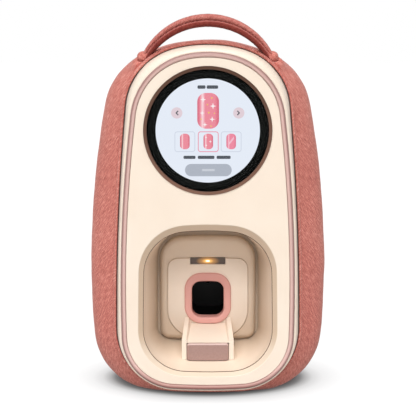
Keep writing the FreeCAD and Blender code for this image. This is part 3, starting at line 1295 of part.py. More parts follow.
def carriage():
    cup = block(-CUP_HALF, CUP_HALF, CUP_FRONT, CUP_REAR, CUP_LOW, CUP_TOP)
    half = CARTRIDGE_HALF + SOFT_GAP
    front, back = CARTRIDGE_DEPTHS
    cuts = [block(-half, half, front - SOFT_GAP, back + SOFT_GAP, CUP_LOW + 2.0, CUP_TOP + 1)]
    cuts.append(block(-half + 4, half - 4, front + 2.7, back - 2.7, CUP_LOW - 1, CUP_LOW + 3))
    cup = cup.cut(cuts)
    bearing_back = ROD_DEPTH + ROD_RADIUS + 1.6
    bearing = block(-12, 12, CUP_REAR - 0.5, bearing_back, ROD_LOW - 5, ROD_HIGH + 5)
    low = BELT_HEIGHT - BELT_RADIUS - BELT_THICKNESS
    clamp = block(-5, 5, bearing_back - 0.5, BELT_BACK + SOFT_GAP, low - 3.4, low + 4.0)
    ears = []
    for side in (-1, 1):
        middle = LATCH_DEPTH + side * (LATCH_WIDTH / 2 + SOFT_GAP + 1.4)
        ears.append(block(CUP_HALF - 1, LATCH_X + 2.4, middle - 1.4, middle + 1.4,
                          CUP_TOP - 10, LATCH_Z + 2.4))
    body = cup.fuse([bearing, clamp] + ears)
    cuts = [cross_rod(-13, 13, ROD_DEPTH, z, ROD_RADIUS + RUNNING) for z in (ROD_LOW, ROD_HIGH)]
    cuts.append(block(-6, 6, BELT_FRONT - SOFT_GAP, BELT_BACK + 1, low - SOFT_GAP,
                      low + BELT_THICKNESS + SOFT_GAP))
    cuts.append(rod(LATCH_X, LATCH_Z, LATCH_DEPTH - 12, LATCH_DEPTH + 12, 1.0 + RUNNING))
    return body.cut(cuts).removeSplitter()


def cartridge_latch():
    half = LATCH_WIDTH / 2
    barrel = rod(LATCH_X, LATCH_Z, LATCH_DEPTH - half, LATCH_DEPTH + half, 2.0)
    lever = block(LATCH_X - LATCH_LENGTH, LATCH_X, LATCH_DEPTH - half, LATCH_DEPTH + half,
                  LATCH_Z - 1.0, LATCH_Z + 1.0)
    tip = block(LATCH_X - LATCH_LENGTH, LATCH_X - LATCH_LENGTH + 5, LATCH_DEPTH - half,
                LATCH_DEPTH + half, LATCH_Z - 1.0, LATCH_Z + 2.6)
    latch = barrel.fuse([lever, tip])
    return latch.cut(rod(LATCH_X, LATCH_Z, LATCH_DEPTH - 12, LATCH_DEPTH + 12,
                         1.0 + RUNNING)).removeSplitter()


def latch_pin():
    reach = LATCH_WIDTH / 2 + SOFT_GAP + 2.8
    return rod(LATCH_X, LATCH_Z, LATCH_DEPTH - reach, LATCH_DEPTH + reach, 1.0)


# ================================================================ export
def main():
    os.makedirs("parts", exist_ok=True)
    save("fabric_cover", fabric_cover())
    save("fabric_hem", fabric_hem())
    save("rear_shell", rear_shell())
    save("front_frame", front_frame())
    frame_screws = screws(FRAME_SCREWS, LEDGE_DEPTH + LEDGE_THICKNESS + 2.2, FLANGE_BACK)
    save("case_screws", frame_screws + rear_screws() + base_screws())
    save("trim_ring", trim_ring())
    save("front_panel", front_panel())
    panel_screws = screws(PANEL_SCREWS, PANEL_FACE + 1.4, LEDGE_DEPTH + LEDGE_THICKNESS)
    panel_screws += screws(BOWL_SCREWS, PANEL_FACE + 1.9, BOWL_FRONT + BOWL_WALL)
    bay_screws = screws(BAY_SCREWS, BLOCK_DEPTH + 1.7, BOWL_BACK_FACE, LOW_HEAD_HEIGHT)
    save("panel_screws", panel_screws + bay_screws)
    save("display_bezel", display_bezel())
    save("board_screws", display_stack() + main_board() + port_board() + chassis_screws())
    save("recess_bowl", recess_bowl())
    save("bay_block", bay_block())
    save("bay_plate", bay_plate())
    led_parts()
    save("finger_port_collar", finger_port_collar())
    save("print_chamber", print_chamber())
    save("camera_module", camera_module())
    save("finger_rest", finger_rest())
    save("rest_button", rest_button())
    save("rest_button_spring", rest_button_spring())
    save("rest_button_switch", rest_button_switch())
    handle_parts()
    handle_lugs()
    save("base_plate", base_plate())
    save("feet", feet())
    save("battery_pack", battery_pack())
    save("speaker", speaker())
    save("rear_panel", rear_panel())
    save("cartridge_door", cartridge_door())
    save("door_hinge_pin", door_hinge_pin())
    save("power_button", power_button())
    save("power_socket", power_socket())
    save("print_chassis", print_chassis())
    save("slide_rails", slide_rails())
    save("lead_screw", lead_screw())
    save("stage_motor", stage_motor())
    save("cross_slide", cross_slide())
    save("guide_rods", guide_rods())
    save("belt_motor", belt_motor())
    save("motor_pulley", motor_pulley())
    save("idler_pulley", idler_pulley())
    save("idler_axle", idler_axle())
    save("drive_belt", drive_belt())
    save("ink_cartridge", ink_cartridge())
    save("carriage", carriage())
    save("cartridge_latch", cartridge_latch())
    save("latch_pin", latch_pin())


main()
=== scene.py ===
import json
from math import asin, atan2, cos, exp, hypot, pi, radians, sin, sqrt

import bmesh
import bpy
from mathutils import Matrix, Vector, noise


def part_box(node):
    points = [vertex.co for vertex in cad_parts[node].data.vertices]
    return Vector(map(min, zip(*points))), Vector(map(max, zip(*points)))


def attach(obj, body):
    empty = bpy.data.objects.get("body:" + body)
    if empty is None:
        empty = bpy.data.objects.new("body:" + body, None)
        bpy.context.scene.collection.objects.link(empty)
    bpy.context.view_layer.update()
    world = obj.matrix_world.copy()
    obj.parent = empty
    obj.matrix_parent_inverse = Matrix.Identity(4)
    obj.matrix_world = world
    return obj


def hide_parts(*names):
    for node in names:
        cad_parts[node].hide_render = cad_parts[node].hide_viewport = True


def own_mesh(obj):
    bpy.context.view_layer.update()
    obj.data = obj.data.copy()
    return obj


# A countertop nail printer in a padded fabric cover. Sizes in millimetres unless they say otherwise;
# the front faces -Y and depth is the distance behind the front face.

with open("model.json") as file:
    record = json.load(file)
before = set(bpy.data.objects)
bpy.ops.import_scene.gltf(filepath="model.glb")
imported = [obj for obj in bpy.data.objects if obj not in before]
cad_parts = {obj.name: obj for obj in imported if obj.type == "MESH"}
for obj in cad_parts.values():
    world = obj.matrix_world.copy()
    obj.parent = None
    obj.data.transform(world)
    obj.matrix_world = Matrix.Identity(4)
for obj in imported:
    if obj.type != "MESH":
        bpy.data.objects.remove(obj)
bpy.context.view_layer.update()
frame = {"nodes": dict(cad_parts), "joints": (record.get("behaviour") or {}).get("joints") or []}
nodes = frame["nodes"]
MM = 0.001
BODY_DEPTH = 160.0


def at(depth):
    """Y of a depth behind the front face."""
    return depth - BODY_DEPTH / 2


# ================================================================ materials
def hexed(text):
    """Linear colour of an sRGB hex value."""
    parts = [int(text[i:i + 2], 16) / 255 for i in (1, 3, 5)]
    return tuple(p / 12.92 if p <= 0.04045 else ((p + 0.055) / 1.055) ** 2.4 for p in parts) + (1.0,)


def darker(text, share):
    """Linear colour of an sRGB hex value, at a share of its brightness."""
    return tuple(part * share for part in hexed(text)[:3]) + (1.0,)


def add(tree, kind, settings=(), links=(), stops=()):
    """A node with its settings and links. Inputs go by name or number, other settings by attribute.
    stops are the (position, linear colour) pairs of a colour ramp, from low to high."""
    node = tree.nodes.new("ShaderNode" + kind)
    for name, value in dict(settings).items():
        if isinstance(name, str) and name not in node.inputs:
            setattr(node, name, value)
    for name, value in dict(settings).items():
        if isinstance(name, int) or name in node.inputs:
            node.inputs[name].default_value = value
    for name, source in dict(links).items():
        tree.links.new(source, node.inputs[name])
    for i, (position, colour) in enumerate(stops):
        elements = node.color_ramp.elements
        stop = elements[i] if i < 2 else elements.new(position)
        stop.position = position
        stop.color = colour
    return node


def new_finish(name, settings):
    """A material with only a surface shader, its node tree and that shader."""
    material = bpy.data.materials.new(name)
    material.use_nodes = True
    tree = material.node_tree
    tree.nodes.clear()
    surface = add(tree, "BsdfPrincipled", settings)
    add(tree, "OutputMaterial", links={"Surface": surface.outputs["BSDF"]})
    return material, tree, surface


def place(tree):
    """Coordinates on the object, in metres."""
    return add(tree, "TexCoord").outputs["Object"]


def tinted(tree, colour, share, tint):
    """Colour multiplied by the tint where share is 1."""
    mix = add(tree, "Mix", {"data_type": "RGBA", "blend_type": "MULTIPLY", 7: hexed(tint)},
              {0: share, 6: colour})
    return mix.outputs[2]


def along_axis(tree, axis, start, end):
    """0 at start and 1 at end, both in millimetres along an axis of the object."""
    where = add(tree, "SeparateXYZ", links={"Vector": place(tree)})
    share = add(tree, "MapRange", {"From Min": start * MM, "From Max": end * MM},
                {"Value": where.outputs[axis]})
    return share.outputs["Result"]


def shade_painted_along(tree, tone, painted_shade):
    """The tone after each (axis, start, end, tint) in painted_shade: it takes the tint on from start to
    end, in millimetres along the axis. Each tint is painted shade."""
    for axis, start, end, tint in painted_shade:
        tone = tinted(tree, tone, along_axis(tree, axis, start, end), tint)
    return tone


def drifting(tree, low, high):
    """The tone of a moulding, which drifts from low to high and back over 38 mm."""
    drift = add(tree, "TexNoise", {"Scale": 1 / (38 * MM), "Detail": 2.0}, {"Vector": place(tree)})
    tone = add(tree, "ValToRGB", links={"Fac": drift.outputs["Fac"]},
               stops=((0.3, hexed(low)), (0.7, hexed(high))))
    return tone.outputs["Color"]


def moulded(name, low, high, roughness, grain=0.9, bump=0.02, mirror=0.5, painted_shade=()):
    """Moulded plastic or rubber: a fine spark-eroded grain breaks up its gloss, and its tone drifts by
    a few percent. grain is the size of the texture in millimetres, drawn coarser than the real 0.1 mm
    so that it shows, and bump its height. mirror is how strongly it mirrors, 0.5 for plain plastic."""
    material, tree, surface = new_finish(name, {"IOR": 1.5, "Specular IOR Level": mirror})
    tone = shade_painted_along(tree, drifting(tree, low, high), painted_shade)
    tree.links.new(tone, surface.inputs["Base Color"])
    speck = add(tree, "TexNoise", {"Scale": 1 / (grain * MM), "Detail": 1.5}, {"Vector": place(tree)})
    gloss = add(tree, "MapRange", {"From Min": 0.3, "From Max": 0.7, "To Min": roughness - 0.05,
                                   "To Max": roughness + 0.05}, {"Value": speck.outputs["Fac"]})
    tree.links.new(gloss.outputs["Result"], surface.inputs["Roughness"])
    relief = add(tree, "Bump", {"Strength": 0.35, "Distance": bump * MM},
                 {"Height": speck.outputs["Fac"]})
    tree.links.new(relief.outputs["Normal"], surface.inputs["Normal"])
    return material


def woven(name, dark, middle, light, relief_depth=0.12, under=None, painted_shade=()):
    """Heathered polyester twill over foam. Yarn ends break the surface into short slanting flecks over
    a fine speckle, and the raised fibres give it a soft sheen. The real yarn is 0.4 mm; flecks are drawn
    0.9 mm wide so that they show. under is (start, end, tint): beyond start to end millimetres round
    the piece, from its first line, the cloth takes the darker tint, which is painted shade."""
    material, tree, surface = new_finish(name, {
        "Roughness": 0.88, "IOR": 1.45, "Specular IOR Level": 0.2, "Sheen Weight": 0.3,
        "Sheen Roughness": 0.5, "Sheen Tint": hexed("#FFE0DA")})
    thread = add(tree, "UVMap", {"uv_map": "thread"}).outputs["UV"]

    def flecks(wide, long, turn):
        """Flecks of a size in millimetres, slanting by turn degrees."""
        slant = add(tree, "Mapping", {"vector_type": "TEXTURE", "Rotation": (0.0, 0.0, radians(turn)),
                                      "Scale": (long * MM, wide * MM, 1.0)}, {"Vector": thread})
        return add(tree, "TexNoise", {"Scale": 1.0, "Detail": 1.0, "Roughness": 0.5},
                   {"Vector": slant.outputs["Vector"]}).outputs["Fac"]

    warp = flecks(wide=0.9, long=5.5, turn=-42)
    weft = flecks(wide=0.8, long=2.2, turn=48)
    speck = add(tree, "TexNoise", {"Scale": 1 / (0.8 * MM), "Detail": 1.0}, {"Vector": thread})
    fade = add(tree, "TexNoise", {"Scale": 1 / (60 * MM), "Detail": 1.0}, {"Vector": thread})
    # The warp counts in full, the rest by these shares.
    yarns = add(tree, "Math", {"operation": "MULTIPLY_ADD", 1: 0.5}, {0: weft, 2: warp})
    yarns = add(tree, "Math", {"operation": "MULTIPLY_ADD", 1: 0.45},
                {0: speck.outputs["Fac"], 2: yarns.outputs[0]})
    shade = add(tree, "Math", {"operation": "MULTIPLY_ADD", 1: 0.3},
                {0: fade.outputs["Fac"], 2: yarns.outputs[0]})
    level = add(tree, "MapRange", {"From Min": 0.8, "From Max": 1.45}, {"Value": shade.outputs[0]})
    colour = add(tree, "ValToRGB", links={"Fac": level.outputs["Result"]},
                 stops=((0.0, hexed(dark)), (0.5, hexed(middle)), (1.0, hexed(light)))).outputs["Color"]
    if under:
        start, end, tint = under
        round_it = add(tree, "SeparateXYZ", links={"Vector": thread})
        share = add(tree, "MapRange", {"From Min": start * MM, "From Max": end * MM},
                    {"Value": round_it.outputs["X"]})
        colour = tinted(tree, colour, share.outputs["Result"], tint)
    tree.links.new(shade_painted_along(tree, colour, painted_shade), surface.inputs["Base Color"])
    relief = add(tree, "Bump", {"Strength": 0.7, "Distance": relief_depth * MM},
                 {"Height": yarns.outputs[0]})
    tree.links.new(relief.outputs["Normal"], surface.inputs["Normal"])
    return material


def metal(name, colour, roughness, grain=0.4, along=(1, 1, 1)):
    """Bare metal with fine scratches, which vary its gloss. along weighs how close they lie on each
    axis, so a low value draws them out that way, where the metal was brushed, rolled or turned."""
    material, tree, surface = new_finish(name, {"Metallic": 1.0})
    scratch = add(tree, "Mapping", {"Scale": [a / (grain * MM) for a in along]},
                  {"Vector": place(tree)})
    marks = add(tree, "TexNoise", {"Scale": 1.0, "Detail": 2.0}, {"Vector": scratch.outputs["Vector"]})
    tone = add(tree, "ValToRGB", links={"Fac": marks.outputs["Fac"]},
               stops=((0.0, darker(colour, 0.86)), (1.0, hexed(colour))))
    tree.links.new(tone.outputs["Color"], surface.inputs["Base Color"])
    gloss = add(tree, "MapRange", {"To Min": roughness - 0.06, "To Max": roughness + 0.06},
                {"Value": marks.outputs["Fac"]})
    tree.links.new(gloss.outputs["Result"], surface.inputs["Roughness"])
    return material


LIT = {"Base Color": (0.0, 0.0, 0.0, 1.0), "Roughness": 0.6, "Specular IOR Level": 0.0,
       "Emission Strength": 1.0}


def lit(name, colour):
    """A patch of the lit screen: its own light, and a faint pixel grid 0.6 mm apart."""
    material, tree, surface = new_finish(name, LIT)
    grid = add(tree, "TexNoise", {"Scale": 1 / (0.6 * MM), "Detail": 0.0}, {"Vector": place(tree)})
    glow = add(tree, "ValToRGB", links={"Fac": grid.outputs["Fac"]},
               stops=((0.0, darker(colour, 0.985)), (1.0, hexed(colour))))
    tree.links.new(glow.outputs["Color"], surface.inputs["Emission Color"])
    return material


def lit_nail(name, shade, body, shine):
    """A lit picture of a lacquered nail: darker to its sides, with one streak of shine to the left."""
    material, tree, surface = new_finish(name, LIT)
    across = add(tree, "SeparateXYZ", links={"Vector": add(tree, "TexCoord").outputs["Generated"]})
    stops = ((0.0, shade), (0.13, body), (0.24, shine), (0.36, body), (0.8, body), (1.0, shade))
    glow = add(tree, "ValToRGB", links={"Fac": across.outputs["X"]},
               stops=[(position, hexed(colour)) for position, colour in stops])
    tree.links.new(glow.outputs["Color"], surface.inputs["Emission Color"])
    return material


def amber_glow():
    """Polycarbonate diffuser with one lamp behind its middle: white there, amber beside it, brown at
    the ends. Levels over 1 are the lamp's own glare."""
    material, tree, surface = new_finish("amber_polycarbonate", {
        "Base Color": hexed("#33251A"), "Roughness": 0.35, "IOR": 1.58, "Emission Strength": 1.0})
    low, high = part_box("led_window")
    spread = (10.5 * MM, 1.0, 4.2 * MM)    # of the light across the window and up it
    shift = add(tree, "VectorMath", {"operation": "SUBTRACT", 1: (low + high) / 2}, {0: place(tree)})
    scaled = add(tree, "VectorMath", {"operation": "DIVIDE", 1: spread},
                 {0: shift.outputs["Vector"]})
    flat = add(tree, "VectorMath", {"operation": "MULTIPLY", 1: (1.0, 0.0, 1.0)},
               {0: scaled.outputs["Vector"]})
    reach = add(tree, "VectorMath", {"operation": "LENGTH"}, {0: flat.outputs["Vector"]})
    glow = add(tree, "ValToRGB", links={"Fac": reach.outputs["Value"]},
               stops=((0.0, (2.2, 2.15, 1.95, 1.0)), (0.12, (2.0, 1.68, 1.05, 1.0)),
                      (0.22, (1.1, 0.58, 0.14, 1.0)), (0.5, hexed("#B07A3C")), (1.0, hexed("#33241A"))))
    tree.links.new(glow.outputs["Color"], surface.inputs["Emission Color"])
    return material


# Twill: a soft matt coral with pale and dark flecks. The hem has painted shade beside the rim and on its
# crown, and the handle is darker all over, with painted shade on its lower roll.
cover_cloth = woven("heathered_twill", "#AC5B52", "#D07B6F", "#ECA698")
hem_cloth = woven("heathered_twill_hem", "#AE5D55", "#CD7B70", "#ECAEA1", 0.09,
                  under=(3.9, 4.9, "#8A5E58"), painted_shade=(("Z", 286, 303, "#DCD6D6"),))
handle_cloth = woven("heathered_twill_handle", "#A4564F", "#C2736A", "#DA9488", 0.09,
                     under=(7.5, 9.1, "#A5766E"))
# Cream ABS: smooth and satin. The pieces in the bay are a tone warmer, and painted shade darkens the bowl
# towards its back and the block and plate towards their bottoms.
cream = moulded("cream_abs", "#F5E4D2", "#F8E9D8", 0.42)
warm = moulded("warm_cream_abs", "#E4D0BA", "#E9D6C1", 0.5)
bowl_warm = moulded("warm_cream_abs_bowl", "#F1DDC8", "#F4E2CF", 0.5,
                    painted_shade=(("Y", at(20), at(66), "#CFCBC6"),))
block_warm = moulded("warm_cream_abs_block", "#F9E6D1", "#FBEAD7", 0.5,
                     painted_shade=(("Z", 118, 50, "#CFC9C3"),))
plate_cream = moulded("warm_cream_abs_plate", "#FCEAD8", "#FDEEDE", 0.48,
                      painted_shade=(("Z", 90, 52, "#DCD8D4"),))
rest_cream = moulded("warm_cream_abs_rest", "#EEDDCB", "#F2E3D2", 0.42)
# Silicone looks chalky and soft, the lacquer of the display ring smooth with a faint gleam; painted shade
# darkens the ring towards its top.
silicone = moulded("pink_silicone", "#DB9E95", "#E1A69D", 0.55, grain=1.4, bump=0.03)
bezel_brown = moulded("brown_lacquer", "#7C5C4E", "#896656", 0.36, mirror=0.14,
                      painted_shade=(("Z", 184, 286, "#B0AAA6"),))
# Blacks: dull housings, a glossier chamber, and the flat ink printed behind the glass.
black = moulded("black_abs", "#070707", "#0B0B0B", 0.7, mirror=0.15)
chamber_black = moulded("glossy_black_abs", "#0B0A0A", "#0F0E0E", 0.4, mirror=0.2)
black_ink = moulded("black_glass_ink", "#0F100F", "#131413", 0.8, mirror=0.0)
# Engineering plastics and rubbers: plain and dull, except for the waxy acetal.
lug_rose = moulded("dusky_rose_nylon", "#7A443E", "#824B45", 0.6)
# A dark strip that stands in for the shadow in the gap round the bay: painted shade.
gap_shade_strip = moulded("dark_painted_gap_shade", "#6A5040", "#735847", 0.8, mirror=0.2)
grey = moulded("grey_glass_filled_nylon", "#9C9894", "#A6A29E", 0.6, grain=0.7)
latch_rose = moulded("rose_acetal", "#C88B80", "#CF948A", 0.38)
taupe = moulded("taupe_abs", "#C9B5A3", "#D0BDAC", 0.5)
foot_rubber = moulded("dark_rubber", "#524C48", "#5C5652", 0.8, grain=1.2, bump=0.05)
belt_rubber = moulded("toothed_neoprene", "#2A2A2A", "#333333", 0.75, grain=1.0, bump=0.08)
pale_core = moulded("natural_nylon", "#DDD7CF", "#E4DFD8", 0.5)
# Electrical: a glossy board, and shrunk film that crinkles over the cells.
solder_mask = moulded("green_solder_mask", "#1B5038", "#226044", 0.3, grain=1.5)
shrink_wrap = moulded("blue_shrink_wrap", "#3A4E92", "#4459A2", 0.32, grain=3.0, bump=0.15)
# Metals: sheet and ground rods show long scratches, the rest is evenly satin or bright.
zinc = metal("zinc_plated_sheet", "#9A9A9C", 0.42, grain=0.8, along=(1, 0.15, 1))
motor_can = metal("satin_nickel_can", "#77787C", 0.36)
steel = metal("ground_steel", "#C4C4C8", 0.24, along=(1, 0.08, 1))
brass = metal("turned_brass", "#C9A765", 0.3)
plated = metal("nickel_plating", "#DCDCE0", 0.16)


def lipped_cream():
    """The panel's cream, with painted shade on the lip that leads into the bay: darkest towards the lip's
    top, less so at its bottom.
    """
    material, tree, surface = new_finish("cream_abs_lip_shade_painted", {"Roughness": 0.42, "IOR": 1.5})
    face = drifting(tree, "#F5E4D2", "#F8E9D8")
    lip = shade_painted_along(tree, face, (("Z", 30, 60, "#E3D8CC"), ("Z", 46, 30, "#EFE9E2")))
    behind_face = along_axis(tree, "Y", at(1.0), at(1.4))
    tone = add(tree, "Mix", {"data_type": "RGBA"}, {0: behind_face, 6: face, 7: lip})
    tree.links.new(tone.outputs[2], surface.inputs["Base Color"])
    return material


def facing_toned_lacquer(name, inner, outer, centre, stretch, roughness, painted_shade=()):
    """Lacquer whose tone is painted by the way a face looks, as painted shade and highlight: outer where it
    looks away from centre (millimetres), inner elsewhere, broken up a little by a fine flake noise.
    stretch weighs the axes of that direction."""
    material, tree, surface = new_finish(name, {"Roughness": roughness, "IOR": 1.5})
    middle = [c * MM for c in centre]
    away = add(tree, "VectorMath", {"operation": "SUBTRACT", 1: middle}, {0: place(tree)})
    away = add(tree, "VectorMath", {"operation": "MULTIPLY", 1: stretch}, {0: away.outputs["Vector"]})
    away = add(tree, "VectorMath", {"operation": "NORMALIZE"}, {0: away.outputs["Vector"]})
    facing = add(tree, "VectorMath", {"operation": "DOT_PRODUCT"},
                 {0: away.outputs["Vector"], 1: add(tree, "NewGeometry").outputs["Normal"]})
    flakes = add(tree, "TexNoise", {"Scale": 1 / (1.2 * MM), "Detail": 1.0}, {"Vector": place(tree)})
    facing = add(tree, "Math", {"operation": "MULTIPLY_ADD", 1: 0.12},
                 {0: flakes.outputs["Fac"], 2: facing.outputs["Value"]})
    tone = add(tree, "ValToRGB", links={"Fac": facing.outputs[0]},
               stops=((0.0, hexed(inner)), (0.45, hexed(outer))))
    tree.links.new(shade_painted_along(tree, tone.outputs["Color"], painted_shade), surface.inputs["Base Color"])
    return material


def coated_glass():
    """Clear cover glass with an anti-reflection coating, so it hardly mirrors the room."""
    material, tree, surface = new_finish("coated_glass", {
        "Base Color": (0.96, 0.97, 0.98, 1.0), "Transmission Weight": 1.0, "IOR": 1.12})
    smear = add(tree, "TexNoise", {"Scale": 1 / (22 * MM), "Detail": 2.0}, {"Vector": place(tree)})
    gloss = add(tree, "MapRange", {"To Min": 0.0, "To Max": 0.03}, {"Value": smear.outputs["Fac"]})
    tree.links.new(gloss.outputs["Result"], surface.inputs["Roughness"])
    return material


# Painted shade and highlight: the trim bead is darker on its outer flank and towards its bottom, and the
# button lighter on top.
rose = facing_toned_lacquer("rose_lacquer_painted_facing_shade", "#DDB8B0", "#A67D77", centre=(0, 0, 150),
             stretch=(1.0, 0.0, 0.45), roughness=0.34, painted_shade=(("Z", 34, 16, "#C9B0AB"),))
mauve = facing_toned_lacquer("mauve_soft_touch", "#9C7B73", "#CFB2AA", centre=(0, 0, -4000),
              stretch=(0.0, 0.0, 1.0), roughness=0.36)

# The finish of each material slot, and of the pieces that differ from their slot's.
finishes = {
    "cover_fabric": cover_cloth, "cream_shell": cream, "bay_plastic": warm, "rose_trim": rose,
    "silicone": silicone, "mauve_button": mauve, "dark_bezel": bezel_brown,
    "cover_glass": coated_glass(), "display_lit": lit("screen_white", "#EAF0FA"),
    "amber_window": amber_glow(), "black_plastic": black, "inner_plastic": grey,
    "latch_plastic": latch_rose, "base_plastic": taupe, "rubber_feet": foot_rubber,
    "belt_rubber": belt_rubber, "steel": steel, "spacer_brass": brass, "chassis_steel": zinc,
    "motor_case": motor_can, "socket_metal": plated, "circuit_board": solder_mask,
    "battery_wrap": shrink_wrap, "core_plastic": pale_core, "power_cap": latch_rose,
}
own_finish = {
    "finger_rest": rest_cream, "bay_plate": plate_cream, "print_chamber": chamber_black,
    "recess_bowl": bowl_warm, "bay_block": block_warm, "handle_lugs": lug_rose,
    "front_panel": lipped_cream(),
}
for name, node in nodes.items():
    slot_name = node.data.materials[0].name.split(".")[0]
    node.data.materials[0] = own_finish.get(name, finishes[slot_name])


# ================================================================ outlines of the body
class Outline:
    """Closed outline seen from the front, symmetric about x = 0, in eight tangent arcs. half is the
    half-width where the long bowed sides are widest, at the height level."""

    def __init__(self, half, level, side, top, bottom, crown, shoulder, corner, base):
        self.values = (half, level, side, top, bottom, crown, shoulder, corner, base)
        self.half, self.level, self.side, self.top, self.bottom = self.values[:5]
        self.crown, self.shoulder, self.corner, self.base = self.values[5:]
        self.shoulder_at = self.between(top - crown, crown, shoulder, 1)
        self.corner_at = self.between(bottom + base, base, corner, -1)
        self.crown_turn = asin(self.shoulder_at[0] / (crown - shoulder))
        self.base_turn = asin(self.corner_at[0] / (base - corner))
        self.upper_lean = asin((self.shoulder_at[1] - level) / (side - shoulder))
        self.lower_lean = asin((level - self.corner_at[1]) / (side - corner))

    def between(self, height, big, small, up):
        """Centre of the small arc that joins a long side to the big arc about (0, height)."""
        to_x = self.half - self.side
        to_z = self.level - height
        apart = hypot(to_x, to_z)
        along = ((big - small) ** 2 - (self.side - small) ** 2 + apart ** 2) / (2 * apart)
        across = up * sqrt((big - small) ** 2 - along ** 2)
        return (along * to_x + across * to_z) / apart, height + (along * to_z - across * to_x) / apart

    def offset(self, out):
        """The outline with its line moved outwards."""
        radii = [r + out for r in (self.crown, self.shoulder, self.corner, self.base)]
        return Outline(self.half + out, self.level, self.side + out, self.top + out,
                       self.bottom - out, *radii)

    def ring(self, counts):
        """(x, z) points from the bottom middle, up the right side and down the left.
        counts are the steps along half the base, a corner, a side, a shoulder and half the crown."""
        def arc(centre, radius, start, end, count):
            turns = [start + (end - start) * i / count for i in range(count)]
            return [(centre[0] + radius * cos(t), centre[1] + radius * sin(t)) for t in turns]

        down = -pi / 2
        up = pi / 2
        right = arc((0, self.bottom + self.base), self.base, down, down + self.base_turn, counts[0])
        right += arc(self.corner_at, self.corner, down + self.base_turn, -self.lower_lean, counts[1])
        right += arc((self.half - self.side, self.level), self.side, -self.lower_lean,
                     self.upper_lean, counts[2])
        right += arc(self.shoulder_at, self.shoulder, self.upper_lean, up - self.crown_turn, counts[3])
        right += arc((0, self.top - self.crown), self.crown, up - self.crown_turn, up, counts[4])
        return right + [(0.0, self.top)] + [(-x, z) for x, z in reversed(right[1:])]


def blend(first, second, share):
    """The outline a share of the way from the first to the second."""
    return Outline(*[a + (b - a) * share for a, b in zip(first.values, second.values)])


RIM_DEPTH = 17.4
HEM_LENGTH = 4.6
HEM_WIDTH = 3.2
HEM_SLOT = 0.5            # dark slot left beside the rim
SOFT_GAP = 0.3
FABRIC = 3.0
WIDEST_DEPTH = 47.0       # where the body is widest
COVER_FRONT = RIM_DEPTH + HEM_LENGTH / 2
RIM = Outline(half=77.0, level=67.0, side=2007.0, top=304.5, bottom=11.2,
              crown=113.0, shoulder=53.8, corner=51.7, base=586.0)
WIDEST = Outline(half=101.0, level=111.0, side=760.0, top=306.9, bottom=2.0,
                 crown=135.0, shoulder=56.5, corner=55.0, base=700.0)
BACK = Outline(half=83.0, level=111.0, side=742.0, top=290.8, bottom=6.0,
               crown=117.0, shoulder=40.0, corner=39.0, base=684.0)
HEM = RIM.offset(SOFT_GAP + HEM_WIDTH)
# The opening round the rear panel, almost straight between its corners.
REAR_OPENING = Outline(half=48.3, level=134.0, side=6000.0, top=228.3, bottom=39.7,
                       crown=6000.0, shoulder=14.3, corner=14.3, base=6000.0)
PORT_Z = 80.6
MOUTH = Outline(half=54.8, level=PORT_Z - 40.0, side=3600.0, top=PORT_Z + 69.0, bottom=PORT_Z - 52.4,
                crown=230.0, shoulder=37.0, corner=36.5, base=400.0)


# ================================================================ mesh helpers
def piece(name, rings, material, body, wrap=True, ends=False):
    """Closed mesh through rings of points. wrap joins the last ring to the first, ends caps them."""
    count = len(rings[0])
    mesh = bpy.data.meshes.new(name)
    points = [[c * MM for c in point] for ring in rings for point in ring]
    faces = []
    spans = len(rings) if wrap else len(rings) - 1
    for r in range(spans):
        low = r * count
        high = (r + 1) % len(rings) * count
        faces += [(low + i, low + (i + 1) % count, high + (i + 1) % count, high + i)
                  for i in range(count)]
    if ends:
        faces += [tuple(reversed(range(count))), tuple(range(len(points) - count, len(points)))]
    mesh.from_pydata(points, [], faces)
    map_thread(mesh, rings, faces)
    return settle(name, mesh, material, body)


def map_thread(mesh, rings, faces):
    """Map of the cloth's run: metres round and along the piece, mirrored about a ring's first point."""
    count = len(rings[0])
    wide = max(rings, key=lambda ring: max(abs(p[0]) for p in ring))
    around = [0.0]
    for i in range(count):
        around.append(around[-1] + (Vector(wide[(i + 1) % count]) - Vector(wide[i])).length * MM)
    around = [min(a, around[-1] - a) for a in around]
    along = [0.0]
    lines = range(0, count, max(1, count // 12))
    for r in range(len(rings)):
        step = sum((Vector(rings[(r + 1) % len(rings)][i]) - Vector(rings[r][i])).length for i in lines)
        along.append(along[-1] + step * MM / len(lines))
    layer = mesh.uv_layers.new(name="thread")
    for face, polygon in zip(faces, mesh.polygons):
        if len(face) == 4:
            r = face[0] // count
            i = face[0] % count
            places = ((around[i], along[r]), (around[i + 1], along[r]),
                      (around[i + 1], along[r + 1]), (around[i], along[r + 1]))
        else:
            corners = [rings[v // count][v % count] for v in face]
            places = [(x * MM, z * MM) for x, _, z in corners]
        for loop, where in zip(polygon.loop_indices, places):
            layer.data[loop].uv = where


def into_scene(name, data):
    """New object for a mesh, a lamp or a camera."""
    obj = bpy.data.objects.new(name, data)
    bpy.context.scene.collection.objects.link(obj)
    return obj


def settle(name, mesh, material, body):
    """Object for a finished mesh, facing outwards, smooth, on its body."""
    fix = bmesh.new()
    fix.from_mesh(mesh)
    bmesh.ops.recalc_face_normals(fix, faces=fix.faces)
    fix.to_mesh(mesh)
    fix.free()
    for polygon in mesh.polygons:
        polygon.use_smooth = True
    mesh.materials.append(material)
    obj = into_scene(name, mesh)
    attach(obj, body)
    return obj


def apply_modifiers(obj):
    """The object's mesh becomes what its modifiers make of it."""
    bpy.context.view_layer.update()
    graph = bpy.context.evaluated_depsgraph_get()
    mesh = bpy.data.meshes.new_from_object(obj.evaluated_get(graph))
    obj.modifiers.clear()
    obj.data = mesh


